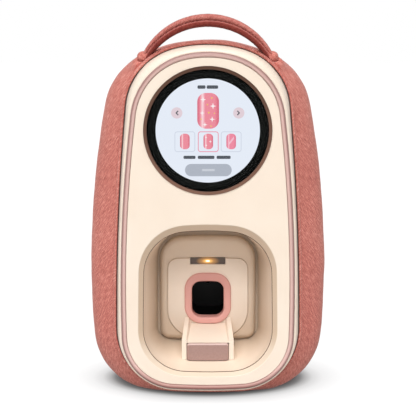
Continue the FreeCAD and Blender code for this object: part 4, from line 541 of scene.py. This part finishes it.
def rounded(cx, cy, width, height, radius, steps=8):
    """Rounded rectangle of (x, y) points about a middle, anticlockwise from its right side."""
    points = []
    for sx, sy, start in ((1, 1, 0), (-1, 1, 90), (-1, -1, 180), (1, -1, 270)):
        for step in range(steps + 1):
            turn = radians(start + 90 * step / steps)
            points.append((cx + sx * (width / 2 - radius) + radius * cos(turn),
                           cy + sy * (height / 2 - radius) + radius * sin(turn)))
    return points


# ================================================================ handle
handle_joint = next(joint for joint in frame["joints"] if joint["name"] == "handle_swing")
PIVOT_X = 54.4            # of the right pivot; the left one mirrors it
PIVOT_Y, PIVOT_Z = [c / MM for c in handle_joint["pos_m"][1:]]
HALF_SPAN = 55.6          # of the strap's outer line at the pivots' height
RISE = 34.9               # from the pivots to that line's crown
ARCH_RADIUS = (HALF_SPAN ** 2 + RISE ** 2) / (2 * RISE)
ARCH_Z = PIVOT_Z + RISE - ARCH_RADIUS
ARCH_REACH = asin(HALF_SPAN / ARCH_RADIUS)
STRAP_THICKNESS = 10.2
STRAP_WIDTH = 12.0
STRAP_TAPER = 0.72        # size at the ends against the crown
STRAP_PLUMP = 0.7         # added thickness at the crown
STRAP_LUMPS = 0.12        # height of the stuffing's lumps
STRAP_STEPS = 150
UPPER_WIDTH = 0.95        # of the upper roll against the lower
ROLL_TAPER = 1.8          # how much faster than the strap the upper roll thins
ROLL_END = 0.86 * pi      # where a roll's side turns in to the groove
ROLL_STEPS = 15
SQUARENESS = 2.3          # exponent of a roll's section, where 2 is an ellipse
GROOVE = 5.0              # from the outer line to the sewn groove
GROOVE_REACH = 1.6        # part of the section on either side of the groove
GROOVE_FOOT = 2.5         # least half-width of that part, which covers the core
KNOT_RADIUS = 4.7
KNOT_X = PIVOT_X - 0.7
KNOT_Z = PIVOT_Z - 0.8
KNOT_TIP = 1.2            # stretch of a knot's outer half, which closes over the pin's end
KNOT_LUMPS = 0.25
KNOT_RINGS = 28
KNOT_COUNT = 48
GATHER = 0.12             # height of the gathers in a knot


def strap_size(turn):
    """Thickness, width and thickness of the upper roll of the strap at an angle along its arch."""
    fall = cos(pi / 2 * turn / ARCH_REACH)
    share = STRAP_TAPER + (1 - STRAP_TAPER) * fall
    thick = STRAP_THICKNESS * share + STRAP_PLUMP * fall
    return thick, STRAP_WIDTH * share, GROOVE * share ** ROLL_TAPER


def on_section(turn):
    """(cosine, sine) pushed out to a circle that bulges towards a square."""
    c = cos(turn)
    s = sin(turn)
    reach = (abs(c) ** SQUARENESS + abs(s) ** SQUARENESS) ** (-1 / SQUARENESS)
    return c * reach, s * reach


def roll(middle, half_height, half_width, start, end):
    """(height, half-width) points over one side of a roll, from its top at turn 0 to its foot at pi."""
    points = []
    for step in range(ROLL_STEPS + 1):
        c, s = on_section(start + (end - start) * step / ROLL_STEPS)
        points.append((middle + half_height * c, half_width * s))
    return points


def make_strap():
    """Strap of two rolls with a sewn groove between them."""
    rings = []
    for step in range(STRAP_STEPS + 1):
        turn = ARCH_REACH * (2 * step / STRAP_STEPS - 1)
        thick, wide, upper = strap_size(turn)
        lower = thick - upper
        groove = thick / 2 - upper
        side_line = roll(lower / 2, upper / 2, wide / 2 * UPPER_WIDTH, 0.0, ROLL_END)
        side_line.append((groove, GROOVE_FOOT))
        side_line += roll(-upper / 2, lower / 2, wide / 2, pi - ROLL_END, pi)
        side_line = [(up, max(side, GROOVE_FOOT) if abs(up - groove) < GROOVE_REACH else side)
                     for up, side in side_line]
        ring = []
        for up, side in side_line + [(up, -side) for up, side in side_line[-2:0:-1]]:
            lump = noise.noise(Vector((turn * 22, up / 4, side / 4)))
            reach = ARCH_RADIUS - thick / 2 + up + STRAP_LUMPS * lump
            ring.append((reach * sin(turn), PIVOT_Y - side * (1 + 0.03 * lump),
                         ARCH_Z + reach * cos(turn)))
        rings.append(ring)
    strap = piece("padded_handle", rings, handle_cloth, "handle", wrap=False, ends=True)
    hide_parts("handle_strap")


def make_knot(name, side):
    """Knot over a pivot: a ball of cloth gathered to its top and foot."""
    rings = []
    for r in range(1, KNOT_RINGS):
        polar = pi * r / KNOT_RINGS
        ring = []
        for k in range(KNOT_COUNT):
            angle = 2 * pi * k / KNOT_COUNT
            normal = Vector((sin(polar) * cos(angle), sin(polar) * sin(angle), cos(polar)))
            gather = GATHER * sin(angle * 11 + side) * (0.25 + abs(cos(polar)) ** 3)
            lump = KNOT_LUMPS * noise.noise(normal * 1.6 + Vector((side * 3, 0, 0)))
            radius = KNOT_RADIUS + gather + lump
            outward = KNOT_TIP if normal.x * side > 0 else 1.0
            ring.append((side * KNOT_X + normal.x * radius * outward,
                         PIVOT_Y + normal.y * radius, KNOT_Z + normal.z * radius))
        rings.append(ring)
    knot = piece(name, rings, cover_cloth, "handle", wrap=False, ends=True)
    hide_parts("handle_ends")


# ================================================================ room for the handle
least, most = handle_joint["range_deg"]
SWINGS = [radians(angle) for angle in range(least, most + 1, 5)]
STRAP_ROOM = 0.9          # kept free all round the swinging strap
KNOT_ROOM = 6.1           # radius kept free for a knot
CLEARED_REACH = 30.0      # from a pivot, beyond which the strap stays well above the cover
CLEARING_STEP = 0.12
CLEARING_STEPS = 60


def pivot(side):
    """The handle's pivot on the left, for side -1, or on the right, for side 1."""
    return Vector((side * PIVOT_X, PIVOT_Y, PIVOT_Z))


def in_strap(x, y, z):
    """Whether a point lies in the strap at rest, or closer to it than the room it needs."""
    turn = atan2(abs(x), z - ARCH_Z)
    if turn > ARCH_REACH + STRAP_ROOM / ARCH_RADIUS:
        return False
    thick, wide, upper = strap_size(min(turn, ARCH_REACH))
    up = hypot(x, z - ARCH_Z) - ARCH_RADIUS + thick / 2
    lower = thick - upper
    for middle, height in ((lower / 2, upper), (-upper / 2, lower)):
        tall = abs(up - middle) / (height / 2 + STRAP_ROOM)
        broad = abs(y - PIVOT_Y) / (wide / 2 + STRAP_ROOM)
        if tall ** SQUARENESS + broad ** SQUARENESS < 1:
            return True
    return False


def swept(here):
    """Whether the strap passes through a point anywhere in its swing."""
    dy = here.y - PIVOT_Y
    dz = here.z - PIVOT_Z
    for swing in SWINGS:
        c = cos(swing)
        s = sin(swing)
        if in_strap(here.x, PIVOT_Y + dy * c + dz * s, PIVOT_Z - dy * s + dz * c):
            return True
    return False


def cleared(here, push):
    """The point moved along the push until the strap and the knots no longer meet it."""
    centre = pivot(1 if here.x > 0 else -1)
    if (here - centre).length > CLEARED_REACH:
        return here
    for _ in range(CLEARING_STEPS):
        if not swept(here):
            break
        here = here + push * CLEARING_STEP
    away = here - centre
    if away.length < KNOT_ROOM:
        here = centre + away.normalized() * KNOT_ROOM
    return here


# ================================================================ padded cover
SWELLS = ((0.55, 34.0), (0.22, 11.0))    # (height, size) of the padding's swells, all over
MIDDLE_Z = 160.0          # height that the lining is pushed towards to clear the handle
GATHERED_REACH = 34.0     # from a pivot, within which the cover is shaped for the knot
COLLAR_RADIUS = 9.0       # from a pivot to the crest of the collar that swells round the knot
COLLAR_HEIGHT = 2.5
COLLAR_SPREAD = 5.0       # how far the collar falls away on either side of its crest
FOLD_HEIGHT = 0.45        # of the gathered folds on that collar
FOLD_SPREAD = 8.0
FLATTENED = 0.3           # how far the cover is pressed down where the strap sweeps over
FLATTENING = 10.0         # length over which that sets in, coming towards the knot
EDGE_RINGS = (4, 3)       # rings over which the padding swells, from the hem and from the rear panel
TURN_IN = 1.2             # depth over which the cover's edge turns in behind the hem
TURN_IN_STEPS = 4
BACK_PUFF = 1.4
BASE_CORNER = 12.0        # of the base plate
WINDOW_CUT = (-3.0, 16.0)                # heights between which the window round it is cut
COVER_COUNTS = (24, 44, 60, 72, 46)      # as for Outline.ring


def skin_rings(inset, steps):
    """Rings of the cover's face from behind the hem to the back face. The outline swells to its widest,
    then rounds over in a shoulder. steps are the rings on each of these parts."""
    rings = []
    for step in range(steps[0]):
        share = step / steps[0]
        depth = COVER_FRONT + (WIDEST_DEPTH - COVER_FRONT) * share
        outline = blend(HEM, WIDEST, sin(pi / 2 * share))
        rings.append((depth, outline.offset(-inset)))
    for step in range(steps[1] + 1):
        turn = pi / 2 * step / steps[1]
        depth = WIDEST_DEPTH + (BODY_DEPTH - WIDEST_DEPTH) * sin(turn) ** (2 / 3)
        rings.append((min(depth, BODY_DEPTH - inset), blend(WIDEST, BACK, 1 - cos(turn)).offset(-inset)))
    return [[(x, at(depth), z) for x, z in outline.ring(COVER_COUNTS)] for depth, outline in rings]


def back_rings(inset, steps):
    """Rings of the flat back face, from its edge in to the rear panel."""
    outer = BACK.offset(-inset).ring(COVER_COUNTS)
    inner = REAR_OPENING.ring(COVER_COUNTS)
    rings = []
    for step in range(1, steps + 1):
        share = step / steps
        puff = BACK_PUFF * sin(pi * share) if inset == 0 else 0.0
        rings.append([(a[0] + (b[0] - a[0]) * share, at(BODY_DEPTH - inset) + puff,
                       a[1] + (b[1] - a[1]) * share) for a, b in zip(outer, inner)])
    return rings


def soften(here):
    """Outward shift of the padding in slow swells."""
    return -sum(height * noise.noise(here / size) for height, size in SWELLS)


def round_knot(here, side, shift):
    """The padding's shift, changed near a knot: the cover stands up in a gathered collar round the
    knot's outside, and lies flat where the strap sweeps over."""
    away = here - pivot(side)
    reach = away.length
    if reach > GATHERED_REACH:
        return shift
    # 1 on the outer side of the pivot and 0 under the strap, with 4 mm between.
    outward = min(1.0, max(0.0, (away.x * side + 1.0) / 4))
    flat = (1 - outward) * min(1.0, (GATHERED_REACH - reach) / FLATTENING)
    turn = atan2(-away.z, away.x * side)
    folds = sin(turn * 9 + 0.6 * side) + 0.5 * sin(turn * 17 + 1.1)
    from_crest = reach - COLLAR_RADIUS
    shift = shift * (1 - flat) - FLATTENED * flat
    return shift + outward * (FOLD_HEIGHT * folds * exp(-(from_crest / FOLD_SPREAD) ** 2)
                              + COLLAR_HEIGHT * exp(-(from_crest / COLLAR_SPREAD) ** 2))


def puffed(rings):
    """The cover's face with its padding, which thins towards both edges and clears the handle's way."""
    count = len(rings[0])
    last = len(rings) - 1
    shaped = []
    for r, ring in enumerate(rings):
        ahead = rings[min(r + 1, last)]
        behind = rings[max(r - 1, 0)]
        padding = min(1.0, r / EDGE_RINGS[0], (last - r) / EDGE_RINGS[1])
        new = []
        for i, point in enumerate(ring):
            here = Vector(point)
            along = Vector(ahead[i]) - Vector(behind[i])
            across = Vector(ring[(i + 1) % count]) - Vector(ring[i - 1])
            normal = along.cross(across).normalized()
            shift = soften(here) * padding
            for side in (-1, 1):
                shift = round_knot(here, side, shift)
            new.append(tuple(cleared(here + normal * shift, -normal)))
        shaped.append(new)
    return shaped


def lining_rings():
    """The cover's inner face, which gives way to the handle where the outer one does."""
    inset = FABRIC - SOFT_GAP
    rings = skin_rings(inset, steps=(6, 8)) + back_rings(inset, steps=3)
    for ring in rings:
        for i, point in enumerate(ring):
            here = Vector(point)
            push = Vector((-here.x, 0, MIDDLE_Z - here.z)).normalized()
            moved = cleared(here, push)
            if moved != here:
                ring[i] = tuple(moved + push)
    return rings


def make_cover():
    """Padded cover from behind the hem to the rear panel, as one closed skin."""
    outer = puffed(skin_rings(0.0, steps=(26, 30)) + back_rings(0.0, steps=12))
    inner = lining_rings()
    turned_in = []
    for step in range(1, TURN_IN_STEPS):
        out = sin(pi / 2 * step / TURN_IN_STEPS)
        turned_in.append([(q[0] + (p[0] - q[0]) * out, p[1] + TURN_IN * (1 - out),
                           q[2] + (p[2] - q[2]) * out) for p, q in zip(outer[0], inner[0])])
    cover = piece("padded_cover", turned_in + outer + inner[::-1], cover_cloth, "housing")
    cut_base_window(cover)
    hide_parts("fabric_cover")


def cut_base_window(cover):
    """The cover stops round the base plate."""
    low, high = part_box("base_plate")
    middle = (low + high) / (2 * MM)
    size = (high - low) / MM
    window = rounded(middle.x, middle.y, size.x + 2 * SOFT_GAP, size.y + 2 * SOFT_GAP,
                     BASE_CORNER + SOFT_GAP)
    rings = [[(x, y, z) for x, y in window] for z in WINDOW_CUT]
    cutter = piece("base_cutter", rings, cover_cloth, "housing", wrap=False, ends=True)
    cut = cover.modifiers.new("window", "BOOLEAN")
    cut.object = cutter
    cut.operation = "DIFFERENCE"
    cut.solver = "EXACT"
    apply_modifiers(cover)
    bpy.data.objects.remove(cutter)


# ================================================================ hem
STITCH = 3.0              # from one sunk stitch to the next
STITCH_PULL = 0.14        # how deep it sinks
STITCH_TURN = 1.35 * pi   # where on the hem's section the stitches lie
STITCH_SPREAD = 0.5       # how far round the section a stitch pulls, in radians
HEM_LUMPS = 0.1
HEM_FULLNESS = 0.1        # by which the roll stands out of its room to the front and back
HEM_COUNTS = (60, 60, 90, 66, 60)
HEM_STEPS = 16
KNOT_DIP = 2.4            # how far the hem gives way at a knot
KNOT_DIP_REACH = 6.5


def make_hem():
    """Rolled hem beside the rim, with sunk stitches on its inner side."""
    line = RIM.offset(SOFT_GAP + HEM_WIDTH / 2).ring(HEM_COUNTS)
    run = 0.0
    rings = []
    for i, (x, z) in enumerate(line):
        before = line[i - 1]
        after = line[(i + 1) % len(line)]
        along = Vector((after[0] - before[0], 0, after[1] - before[1])).normalized()
        out = Vector((along.z, 0, -along.x))
        run += Vector((x - before[0], z - before[1])).length
        pull = STITCH_PULL * cos(2 * pi * run / STITCH)
        # The slot beside the rim closes towards the crown.
        slot = HEM_SLOT * min(1.0, max(0.0, 1.9 - 2 * out.z))
        ring = []
        for step in range(HEM_STEPS):
            turn = 2 * pi * step / HEM_STEPS
            c, s = on_section(turn)
            across = (HEM_WIDTH - slot) / 2 * c + slot / 2
            across += pull * exp(-((turn - STITCH_TURN) / STITCH_SPREAD) ** 2)
            across += HEM_LUMPS * noise.noise(Vector((x, z, turn * 6)) / 6)
            here = Vector((x + out.x * across, at(RIM_DEPTH) + (HEM_LENGTH / 2 + HEM_FULLNESS) * s,
                           z + out.z * across))
            for side in (-1, 1):
                reach = hypot(here.x - side * KNOT_X, here.z - KNOT_Z)
                here.y += KNOT_DIP * exp(-(reach / KNOT_DIP_REACH) ** 2)
            ring.append(tuple(cleared(here, Vector((0, -1, 0)))))
        rings.append(ring)
    hem = piece("rolled_hem", rings, hem_cloth, "housing")
    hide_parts("fabric_hem")


# ================================================================ lit screen
DISPLAY_Z = 234.0
SCREEN_DEPTH = 2.3
PANEL_RADIUS = 45.4
PANEL_THICKNESS = 2.6
BORDER_RADII = (43.3, 50.7)
BORDER_DEPTH = 2.1
BORDER_THICKNESS = 0.06
PIXEL = 0.834             # screen layout unit in millimetres
LAYER = 0.012             # a picture layer's step towards the glass
PRINT_THICKNESS = LAYER * 0.6
STAR_REACH = (1.0, 0.42, 0.3, 0.42)      # from a sparkle's point to its notch and back

# Layout in units of PIXEL from the screen's middle, x to the right and z up.
# Each row of bars has its z, height, corner radius and the (middle, width) of its bars.
BAR_ROWS = (("heading", 43.4, 3.4, 1.2, ((-6.2, 8.0), (4.6, 11.4))),
            ("prompt", -26.6, 3.2, 1.1, ((-18.2, 12.0), (-1.6, 16.6), (15.8, 14.0))))
PILL = (0.6, -39.4)
ARROW_X = 30.8
ARROW_Z = 17.7
CHEVRON = ((-1.3, 0.0), (1.0, 2.5), (1.9, 1.8), (0.2, 0.0), (1.9, -1.8), (1.0, -2.5))
LARGE_NAIL = (0.4, 19.8)
LARGE_STARS = ((-4.6, 31.0, 3.0), (5.2, 24.5, 3.3), (-5.6, 17.6, 2.6), (4.4, 11.4, 2.9),
               (-2.8, 6.0, 2.5))                             # (x, z, size)
LARGE_DOTS = ((4.0, 32.6, 0.8), (-0.4, 26.0, 0.7), (1.0, 18.0, 0.9), (-6.6, 11.6, 0.7),
              (6.6, 17.4, 0.6), (3.2, 4.6, 0.7))
FRAME_Z = -11.0
SMALL_NAIL_Z = -10.7
FRAMES_X = (-22.8, 0.5, 23.3)
SMALL_STARS = ((-1.7, -6.6, 1.4), (2.6, -10.8, 1.5), (-1.4, -14.6, 1.3))
SMALL_BAND = ((21.0, -14.6), (26.0, -8.2), (26.0, -5.6), (21.0, -12.0))

grey_ink = lit("screen_grey", "#565B62")
star_white = lit("screen_star", "#FFF6F6")
nail_pink = lit_nail("screen_nail", "#D9657B", "#F0909F", "#FFD9DF")
nail_rose = lit_nail("screen_nail_rose", "#E0708A", "#F28EA4", "#FBC3CF")


def flat_piece(name, outline, depth, thickness, material):
    """Thin plate with a closed outline of (x, z) points, its face at depth."""
    rings = [[(x, at(d), z) for x, z in outline] for d in (depth, depth + thickness)]
    return piece(name, rings, material, "housing", wrap=False, ends=True)


def flat_ring(name, inner, outer, depth, thickness, material):
    """Thin flat ring between two outlines of (x, z) points, its face at depth."""
    back = depth + thickness
    rings = [[(x, at(d), z) for x, z in outline]
             for outline, d in ((outer, depth), (inner, depth), (inner, back), (outer, back))]
    return piece(name, rings, material, "housing")


def on_screen(points):
    """Layout points as millimetres on the front of the body."""
    return [(x * PIXEL, DISPLAY_Z + z * PIXEL) for x, z in points]


def picture(name, points, layer, material):
    """One flat shape of a picture on the screen."""
    shape = flat_piece(name, on_screen(points), SCREEN_DEPTH - LAYER * layer, PRINT_THICKNESS, material)


def frame_line(name, cx, cz, size, width, radius, layer, material):
    """Outline of a rounded square on the screen."""
    outer = on_screen(rounded(cx, cz, size, size, radius))
    inner = on_screen(rounded(cx, cz, size - 2 * width, size - 2 * width, radius - width))
    shape = flat_ring(name, inner, outer, SCREEN_DEPTH - LAYER * layer, PRINT_THICKNESS, material)


def sparkle(cx, cz, size):
    """Four-pointed star."""
    points = []
    for step in range(16):
        turn = 2 * pi * step / 16
        reach = size * STAR_REACH[step % 4]
        points.append((cx + reach * sin(turn), cz + reach * cos(turn)))
    return points


def disc(cx, cz, radius, steps=40):
    """Circle of points."""
    return [(cx + radius * cos(2 * pi * i / steps), cz + radius * sin(2 * pi * i / steps))
            for i in range(steps)]


def make_panel():
    """Lit panel, and the black border printed on the back of its cover glass."""
    face = on_screen(disc(0, 0, PANEL_RADIUS / PIXEL, steps=120))
    panel = flat_piece("lit_panel", face, SCREEN_DEPTH, PANEL_THICKNESS, finishes["display_lit"])
    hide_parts("lcd_panel")
    inner, outer = [disc(0, DISPLAY_Z, radius, steps=120) for radius in BORDER_RADII]
    border = flat_ring("glass_border_print", inner, outer, BORDER_DEPTH, BORDER_THICKNESS, black_ink)


def make_bars():
    """Heading, prompt and start pill. They are plain bars, where real firmware has its words."""
    for row, cz, height, radius, bars in BAR_ROWS:
        for k, (cx, width) in enumerate(bars):
            picture("%s_bar_%d" % (row, k), rounded(cx, cz, width, height, radius), 1, grey_ink)
    picture("start_pill", rounded(*PILL, width=46.6, height=12.4, radius=6.1), 1,
            lit("screen_pill", "#B3B9C4"))
    picture("start_pill_bar", rounded(*PILL, width=13.0, height=2.2, radius=1.0), 2,
            lit("screen_pill_ink", "#CFD3DB"))


def make_arrows():
    """Round buttons that step through the designs."""
    button_disc = lit("screen_button", "#E6D3DA")
    for side, name in ((-1, "left"), (1, "right")):
        picture("arrow_disc_" + name, disc(side * ARROW_X, ARROW_Z, radius=5.6), 1, button_disc)
        points = [(side * (ARROW_X - x), ARROW_Z + z) for x, z in CHEVRON]
        picture("arrow_" + name, points, 2, grey_ink)


def make_large_nail():
    """The chosen design: a pink nail with white sparkles and gold dots."""
    dot_gold = lit("screen_gold", "#F2CD6A")
    picture("nail_large", rounded(*LARGE_NAIL, width=21.6, height=35.6, radius=8.6), 2, nail_pink)
    for k, star in enumerate(LARGE_STARS):
        picture("nail_star_%d" % k, sparkle(*star), 3, star_white)
    for k, dot in enumerate(LARGE_DOTS):
        picture("nail_dot_%d" % k, disc(*dot, steps=16), 3, dot_gold)


def make_small_nails():
    """Three designs to choose from, the middle one framed as chosen."""
    pale_line = lit("screen_pale_line", "#D3D9E6")
    pink_line = lit("screen_pink_line", "#F08CA2")
    looks = ((pale_line, nail_pink), (pink_line, nail_pink), (pale_line, nail_rose))
    for k, (cx, (line, nail)) in enumerate(zip(FRAMES_X, looks)):
        frame_line("design_frame_%d" % k, cx, FRAME_Z, size=20.6, width=0.75, radius=2.8,
                   layer=1, material=line)
        picture("nail_small_%d" % k, rounded(cx, SMALL_NAIL_Z, width=9.6, height=15.6, radius=3.9), 1,
                nail)
    for k, star in enumerate(SMALL_STARS):
        picture("nail_small_star_%d" % k, sparkle(*star), 2, star_white)
    picture("nail_small_band", SMALL_BAND, 2, lit("screen_band", "#F9C2D2"))


# ================================================================ bay seam
SEAM = ((0.15, 4.7), (-0.3, 4.9), (-0.3, 5.3), (0.15, 5.3))  # (out from the bay's mouth, depth)
SEAM_COUNTS = (20, 30, 20, 30, 20)


def make_bay_seam():
    """Dark ring between the front panel's lip and the bowl, standing in for the shadow in the gap there:
    painted shade.
    """
    rings = [[(x, at(depth), z) for x, z in MOUTH.offset(out).ring(SEAM_COUNTS)]
             for out, depth in SEAM]
    seam = piece("bay_seam", rings, gap_shade_strip, "housing")


# ================================================================ floor, light, camera
FLOOR_HALF = 6.0          # metres
SHADE_MIDDLE = (0.0, 23 * MM, 0.0)       # of the shade round the foot
SHADE_SIZE = (88 * MM, 71 * MM, 1.0)
# How brightly the paper glows, from the middle of the foot (0) to well clear of it (1); the dim part
# near the foot is a painted shadow.
PAPER_GLOW = ((0.0, 0.02), (0.14, 0.1), (0.22, 0.19), (0.29, 0.4), (0.41, 0.68), (0.56, 0.82),
              (0.7, 0.87), (1.0, 0.95))
CAMERA_AT = (0.0002, -1.3674, 0.3505)    # metres
CAMERA_TILT = 82.0        # degrees from straight down
SENSOR = 36.0
LENS = 134.9


def looked_at(tree):
    """1 where a surface is seen, also in a mirror or through glass, and 0 where it only lights others."""
    rays = add(tree, "LightPath")
    seen = add(tree, "Math", {"operation": "MAXIMUM"},
               {0: rays.outputs["Is Camera Ray"], 1: rays.outputs["Is Glossy Ray"]})
    seen = add(tree, "Math", {"operation": "MAXIMUM"},
               {0: seen.outputs[0], 1: rays.outputs["Is Transmission Ray"]})
    return seen.outputs[0]


def sweep_paper():
    """White paper sweep. It glows, except close round the foot, where a painted shadow dims the glow; seen,
    it reflects little, so its real shadows show only faintly.
    """
    material, tree, surface = new_finish("white_sweep", {
        "Roughness": 1.0, "Specular IOR Level": 0.0, "Emission Color": (1.0, 1.0, 1.0, 1.0)})
    seen = looked_at(tree)
    spot = add(tree, "VectorMath", {"operation": "SUBTRACT", 1: SHADE_MIDDLE}, {0: place(tree)})
    spot = add(tree, "VectorMath", {"operation": "DIVIDE", 1: SHADE_SIZE}, {0: spot.outputs["Vector"]})
    reach = add(tree, "VectorMath", {"operation": "LENGTH"}, {0: spot.outputs["Vector"]})
    reach = add(tree, "MapRange", {"From Min": 0.8, "From Max": 1.5}, {"Value": reach.outputs["Value"]})
    glow = add(tree, "ValToRGB", links={"Fac": reach.outputs["Result"]},
               stops=[(position, (level, level, level, 1.0)) for position, level in PAPER_GLOW])
    lift = add(tree, "Math", {"operation": "MULTIPLY"}, {0: seen, 1: glow.outputs["Color"]})
    tree.links.new(lift.outputs[0], surface.inputs["Emission Strength"])
    bounce = add(tree, "Mix", {"data_type": "RGBA", 6: (0.55, 0.53, 0.51, 1.0), 7: (0.12, 0.12, 0.12, 1.0)},
                 {0: seen})
    tree.links.new(bounce.outputs[2], surface.inputs["Base Color"])
    return material


def make_floor():
    """Flat square under the printer."""
    mesh = bpy.data.meshes.new("floor")
    corners = ((-1, -1), (1, -1), (1, 1), (-1, 1))
    mesh.from_pydata([(x * FLOOR_HALF, y * FLOOR_HALF, 0) for x, y in corners], [], [(0, 1, 2, 3)])
    mesh.materials.append(sweep_paper())
    floor = into_scene("floor", mesh)


def make_world():
    """White room: bright where it is seen, dim as a light."""
    world = bpy.data.worlds.new("studio")
    bpy.context.scene.world = world
    world.use_nodes = True
    tree = world.node_tree
    tree.nodes.clear()
    strength = add(tree, "MapRange", {"To Min": 0.3, "To Max": 1.0}, {"Value": looked_at(tree)})
    glow = add(tree, "Background", {"Color": (1.0, 1.0, 1.0, 1.0)},
               {"Strength": strength.outputs["Result"]})
    add(tree, "OutputWorld", links={"Surface": glow.outputs["Background"]})


def far_softbox(name, azimuth, elevation, width, level):
    """Large far softbox. width is its angle across; level 1 lights a facing white surface to white."""
    lamp = bpy.data.lights.new(name, "SUN")
    lamp.angle = radians(width)
    lamp.energy = level * pi
    up = radians(elevation)
    round_z = radians(azimuth)
    source = Vector((sin(round_z) * cos(up), -cos(round_z) * cos(up), sin(up)))
    into_scene(name, lamp).rotation_euler = source.to_track_quat("Z", "Y").to_euler()


def make_camera():
    """Long lens, a little above the top of the body and looking down at it."""
    lens = bpy.data.cameras.new("camera")
    lens.sensor_width = SENSOR
    lens.lens = LENS
    camera = into_scene("camera", lens)
    camera.location = CAMERA_AT
    camera.rotation_euler = (radians(CAMERA_TILT), 0.0, 0.0)
    bpy.context.scene.camera = camera


bpy.context.scene.view_settings.view_transform = "Standard"
make_camera()
make_world()
make_floor()
far_softbox("key", azimuth=-7, elevation=50, width=46, level=0.86)
far_softbox("fill", azimuth=0, elevation=4, width=80, level=0.16)
make_cover()
make_hem()
make_strap()
make_knot("handle_knot_left", -1)
make_knot("handle_knot_right", 1)
make_panel()
make_bars()
make_arrows()
make_large_nail()
make_small_nails()
make_bay_seam()
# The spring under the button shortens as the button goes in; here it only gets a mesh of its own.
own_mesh(nodes["rest_button_spring"])
